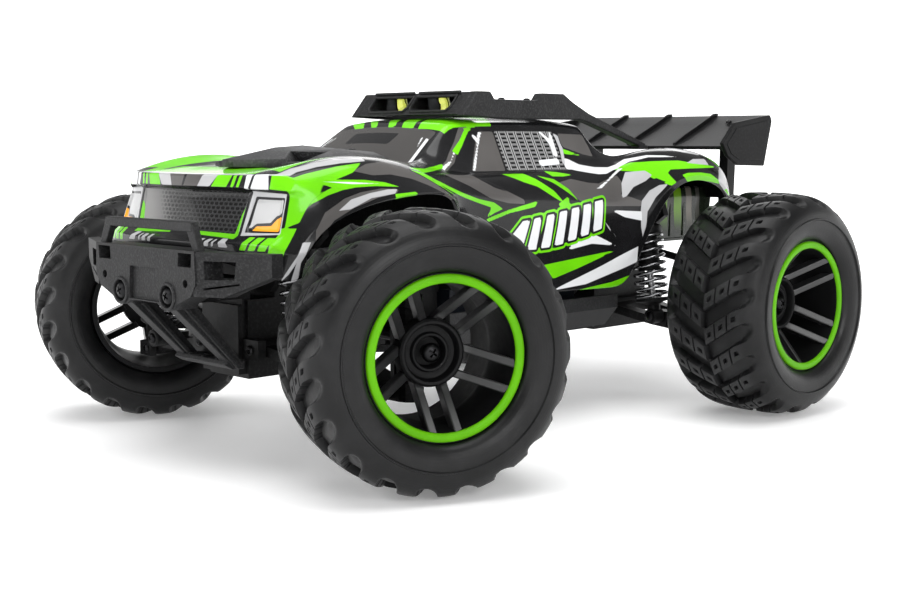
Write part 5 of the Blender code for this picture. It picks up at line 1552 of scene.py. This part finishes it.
def shock_body(name, side, axle_y):
    """Cap, ribbed cylinder and eye. The bore stays open for the rod."""
    top, foot = shock_ends(side, axle_y)
    profile = [(0, 7.6), (2.4, 7.6), (2.4, 27), (5.2, 27.0), (5.4, 26.6), (5.4, 25.4), (4.9, 25.2)]
    for rib in range(7):
        start = 24.4 - 2.0 * rib
        profile += [(4.9, start), (5.3, start - 0.2), (5.3, start - 0.9), (4.9, start - 1.1)]
    profile += [(4.9, 9.6), (7.2, 9.6), (7.6, 9.2), (7.6, 6.4), (7.2, 6.0), (5.4, 5.2), (3.8, 4.0),
                (3.6, 1.0), (0, 1.0)]
    parts = [turned("cylinder", profile, top, foot, 40)]
    eye = [(1.5, -3.5), (3.6, -3.5), (4.0, -3.1), (4.0, 3.1), (3.6, 3.5), (1.5, 3.5), (1.5, -3.5)]
    parts.append(turned("eye", eye, top, top + Vector((0, 1, 0)), 36))
    placed_piece(f"{name}_shock_cylinder", parts, f"{name}_damper", f"{name}_shock_body",
                 BLACK_NYLON_SHADE_DARKENED)
    places = [(top + Vector((0, -3.4, 0)), (0, -1, 0), 2.5, 35)]
    screws(f"{name}_shock_top_screw", f"{name}_damper", places, BLACK_STEEL)


def shock_foot(name, side, axle_y):
    """Polished rod, spring seat and lower eye."""
    top, foot = shock_ends(side, axle_y)
    length = (foot - top).length
    seat = length - SEAT_HEIGHT
    shaft = [(0, 15), (1.4, 15), (1.55, 15.2), (1.55, seat + 0.5), (0, seat + 0.5)]
    parts = [painted(turned("shaft", shaft, top, foot, 28), STEEL)]
    cup = [(0, seat), (7.6, seat), (8, seat + 0.35), (8, seat + 1.2), (7.6, seat + 1.5), (5, seat + 2.1),
           (3.2, seat + 3.0), (3, length - 2.6), (0, length - 2.6)]
    parts.append(painted(turned("seat", cup, top, foot, 40), BLACK_NYLON_SHADE_DARKENED))
    eye = [(1.5, -3.5), (3.2, -3.5), (3.6, -3.1), (3.6, 3.1), (3.2, 3.5), (1.5, 3.5), (1.5, -3.5)]
    parts.append(painted(turned("eye", eye, foot, foot + Vector((0, 1, 0)), 36), BLACK_NYLON_SHADE_DARKENED))
    placed_piece(f"{name}_shock_shaft", parts, f"{name}_piston", f"{name}_shock_rod")
    places = [(foot + Vector((0, -3.4, 0)), (0, -1, 0), 2.3, 70)]
    screws(f"{name}_shock_foot_screw", f"{name}_piston", places, BLACK_STEEL)


def spring(name, side, axle_y):
    """A round-wire helix with closed ends, between its two seats."""
    top, foot = shock_ends(side, axle_y)
    place = along(top, foot)
    start, end = SPRING_START, (foot - top).length - SEAT_HEIGHT - 0.95
    count = SPRING_TURNS * 26
    path = []
    for i in range(count + 1):
        share = i / count
        rise = min(max((share - 0.055) / 0.89, 0), 1)
        angle = 2 * math.pi * SPRING_TURNS * share
        local = Vector((SPRING_RADIUS * math.cos(angle), SPRING_RADIUS * math.sin(angle),
                        start + (end - start) * rise))
        path.append((place @ (local * MM)) / MM)
    wire = joined(f"{name}_spring_wire", [painted(tube("wire", path, WIRE_RADIUS, 12), DARK_CHROME)])
    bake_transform(wire)
    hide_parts(f"{name}_spring")


def shock_absorbers():
    """One shock absorber with its spring at each corner."""
    for name, side, axle_y in CORNERS:
        shock_body(name, side, axle_y)
        shock_foot(name, side, axle_y)
        spring(name, side, axle_y)


# ---------------------------------------------------------------- pieces kept from the CAD


INNER_PIN_X = 17.0
OUTER_PIN_X = 73.0


def suspension_screws():
    """Heads of the hinge pins in front of and behind each arm, and of the pins through the carriers."""
    for name, side, axle_y in CORNERS:
        places = []
        for end in (-1, 1):
            places.append(((side * INNER_PIN_X, axle_y + end * 22.1, 43.0), (0, end, 0), 2.0, 15))
            places.append(((side * INNER_PIN_X, axle_y + end * 6.9, 73.0), (0, end, 0), 1.7, 40))
        screws(f"{name}_hinge_pins", "chassis", places, BLACK_STEEL)
        places = []
        for end in (-1, 1):
            places.append(((side * OUTER_PIN_X, axle_y + end * 12.0, 33.2), (0, end, 0), 2.0, 30))
            places.append(((side * OUTER_PIN_X, axle_y + end * 6.6, 63.0), (0, end, 0), 1.7, 10))
        screws(f"{name}_carrier_pins", f"{name}_hub", places, BLACK_STEEL)


def kept(node, material, width=0.35):
    """A CAD piece with its own material and lightly rounded edges."""
    obj = painted(frame["nodes"][node], material)
    if width:
        bevelled(obj, width, 2, 35)
    return obj


# ---------------------------------------------------------------- studio


def camera():
    """The picture's camera, ahead of the truck and to its left."""
    data = bpy.data.cameras.new("camera")
    data.lens = CAMERA_LENS
    data.sensor_width = 36
    data.shift_y = CAMERA_SHIFT_Y
    data.clip_start = 0.01
    obj = bpy.data.objects.new("camera", data)
    bpy.context.scene.collection.objects.link(obj)
    obj.location = CAMERA_PLACE
    obj.rotation_euler = (math.radians(90 - CAMERA_PITCH), 0, math.radians(CAMERA_AZIMUTH))
    bpy.context.scene.camera = obj


def soft_light(name, place, target, size, power):
    """A white rectangular light, aimed at a point."""
    data = bpy.data.lights.new(name, "AREA")
    data.shape = "RECTANGLE"
    data.size, data.size_y = size
    data.energy = power
    obj = bpy.data.objects.new(name, data)
    bpy.context.scene.collection.objects.link(obj)
    obj.location = place
    obj.rotation_euler = (Vector(target) - Vector(place)).to_track_quat("-Z", "Y").to_euler()


FLOOR_RADIUS = 1.7
WALL_RADIUS = 2.3
WALL_HEIGHT = 0.6
NEAR_GLOW = 0.2
FLOOR_GLOW = 0.65
WORLD_LIGHT = 0.32


def floor_sheet():
    """A round paper floor that curves up into a low wall all round."""
    profile = [(r, 0.0) for r in (0.0, 0.2, 0.5, 0.9, 1.3, FLOOR_RADIUS)]
    for k in range(1, 13):
        angle = math.radians(7.5 * k)
        radius = FLOOR_RADIUS + (WALL_RADIUS - FLOOR_RADIUS) * math.sin(angle)
        profile.append((radius, WALL_HEIGHT * (1 - math.cos(angle))))
    return turned("floor", [(r / MM, h / MM) for r, h in profile], steps=96, sharp=90)


def floor_paper():
    """White paper. It is lit from behind away from the truck, so that it stays white there."""
    s = Shader("floor_paper")
    coordinates = s.node("ShaderNodeTexCoord").outputs["Object"]
    level = s.node("ShaderNodeVectorMath", (0, coordinates), (1, (1.0, 1.0, 0.0)), operation="MULTIPLY")
    radius = s.node("ShaderNodeVectorMath", (0, level.outputs[0]), operation="LENGTH").outputs["Value"]
    s.into("Base Color", s.mix(s.noise(3.0, 3.0), (0.90, 0.90, 0.905), (0.93, 0.93, 0.93)))
    s.value(roughness=0.6, specular_ior_level=0.2, emission_color=(1, 1, 1, 1))
    glow = s.plus(s.times(s.step(radius, 0.2, 1.1), FLOOR_GLOW), NEAR_GLOW)
    s.into("Emission Strength", glow)
    return s.material


def studio():
    """A paper floor, a pale surround and four soft lights."""
    painted(floor_sheet(), floor_paper())
    world = bpy.data.worlds.new("studio")
    world.use_nodes = True
    world.node_tree.nodes["Background"].inputs[0].default_value = (1, 1, 1, 1)
    world.node_tree.nodes["Background"].inputs[1].default_value = WORLD_LIGHT
    bpy.context.scene.world = world
    soft_light("overhead", (0.1, -0.1, 1.4), (0, 0, 0), (1.3, 1.3), 20)
    soft_light("left_front", (1.5, -0.6, 0.8), (0, 0, 0.06), (0.8, 0.6), 10)
    soft_light("right_front", (-0.6, -1.5, 0.9), (0, 0, 0.06), (0.9, 0.6), 7)
    soft_light("behind", (-0.9, 1.2, 1.0), (0, 0, 0.06), (1.0, 0.5), 6)
    bpy.context.scene.view_settings.view_transform = "Standard"


# ---------------------------------------------------------------- the truck

SCREW_HEAD = screw_head()

camera()
studio()
wheels()
body_shell()

bonnet_panel()
roof_rack()
rear_wing()
front_bumper()
inner_tub()
shock_absorbers()
suspension_screws()

SLOT_MATERIALS = {"black_plastic": BLACK_NYLON_SHADE_DARKENED, "steel": STEEL, "battery_wrap": WRAP, "nylon_gear": GEAR}
ROUNDED = ("battery_pack", "electronics_box", "steering_servo", "chassis_tub", "front_gearbox",
           "rear_gearbox", "front_shock_tower", "rear_shock_tower", "wing_mount")
for part in frame["record"]["subparts"]:
    if part["material_slot"] in SLOT_MATERIALS:
        kept(part["node"], SLOT_MATERIALS[part["material_slot"]], 0.35 if part["node"] in ROUNDED else 0)

kept("chassis_tub", BLACK_GRAIN, 0)
for corner_name, _, _ in CORNERS:
    kept(f"{corner_name}_wheel_axle", BLACK_STEEL, 0)
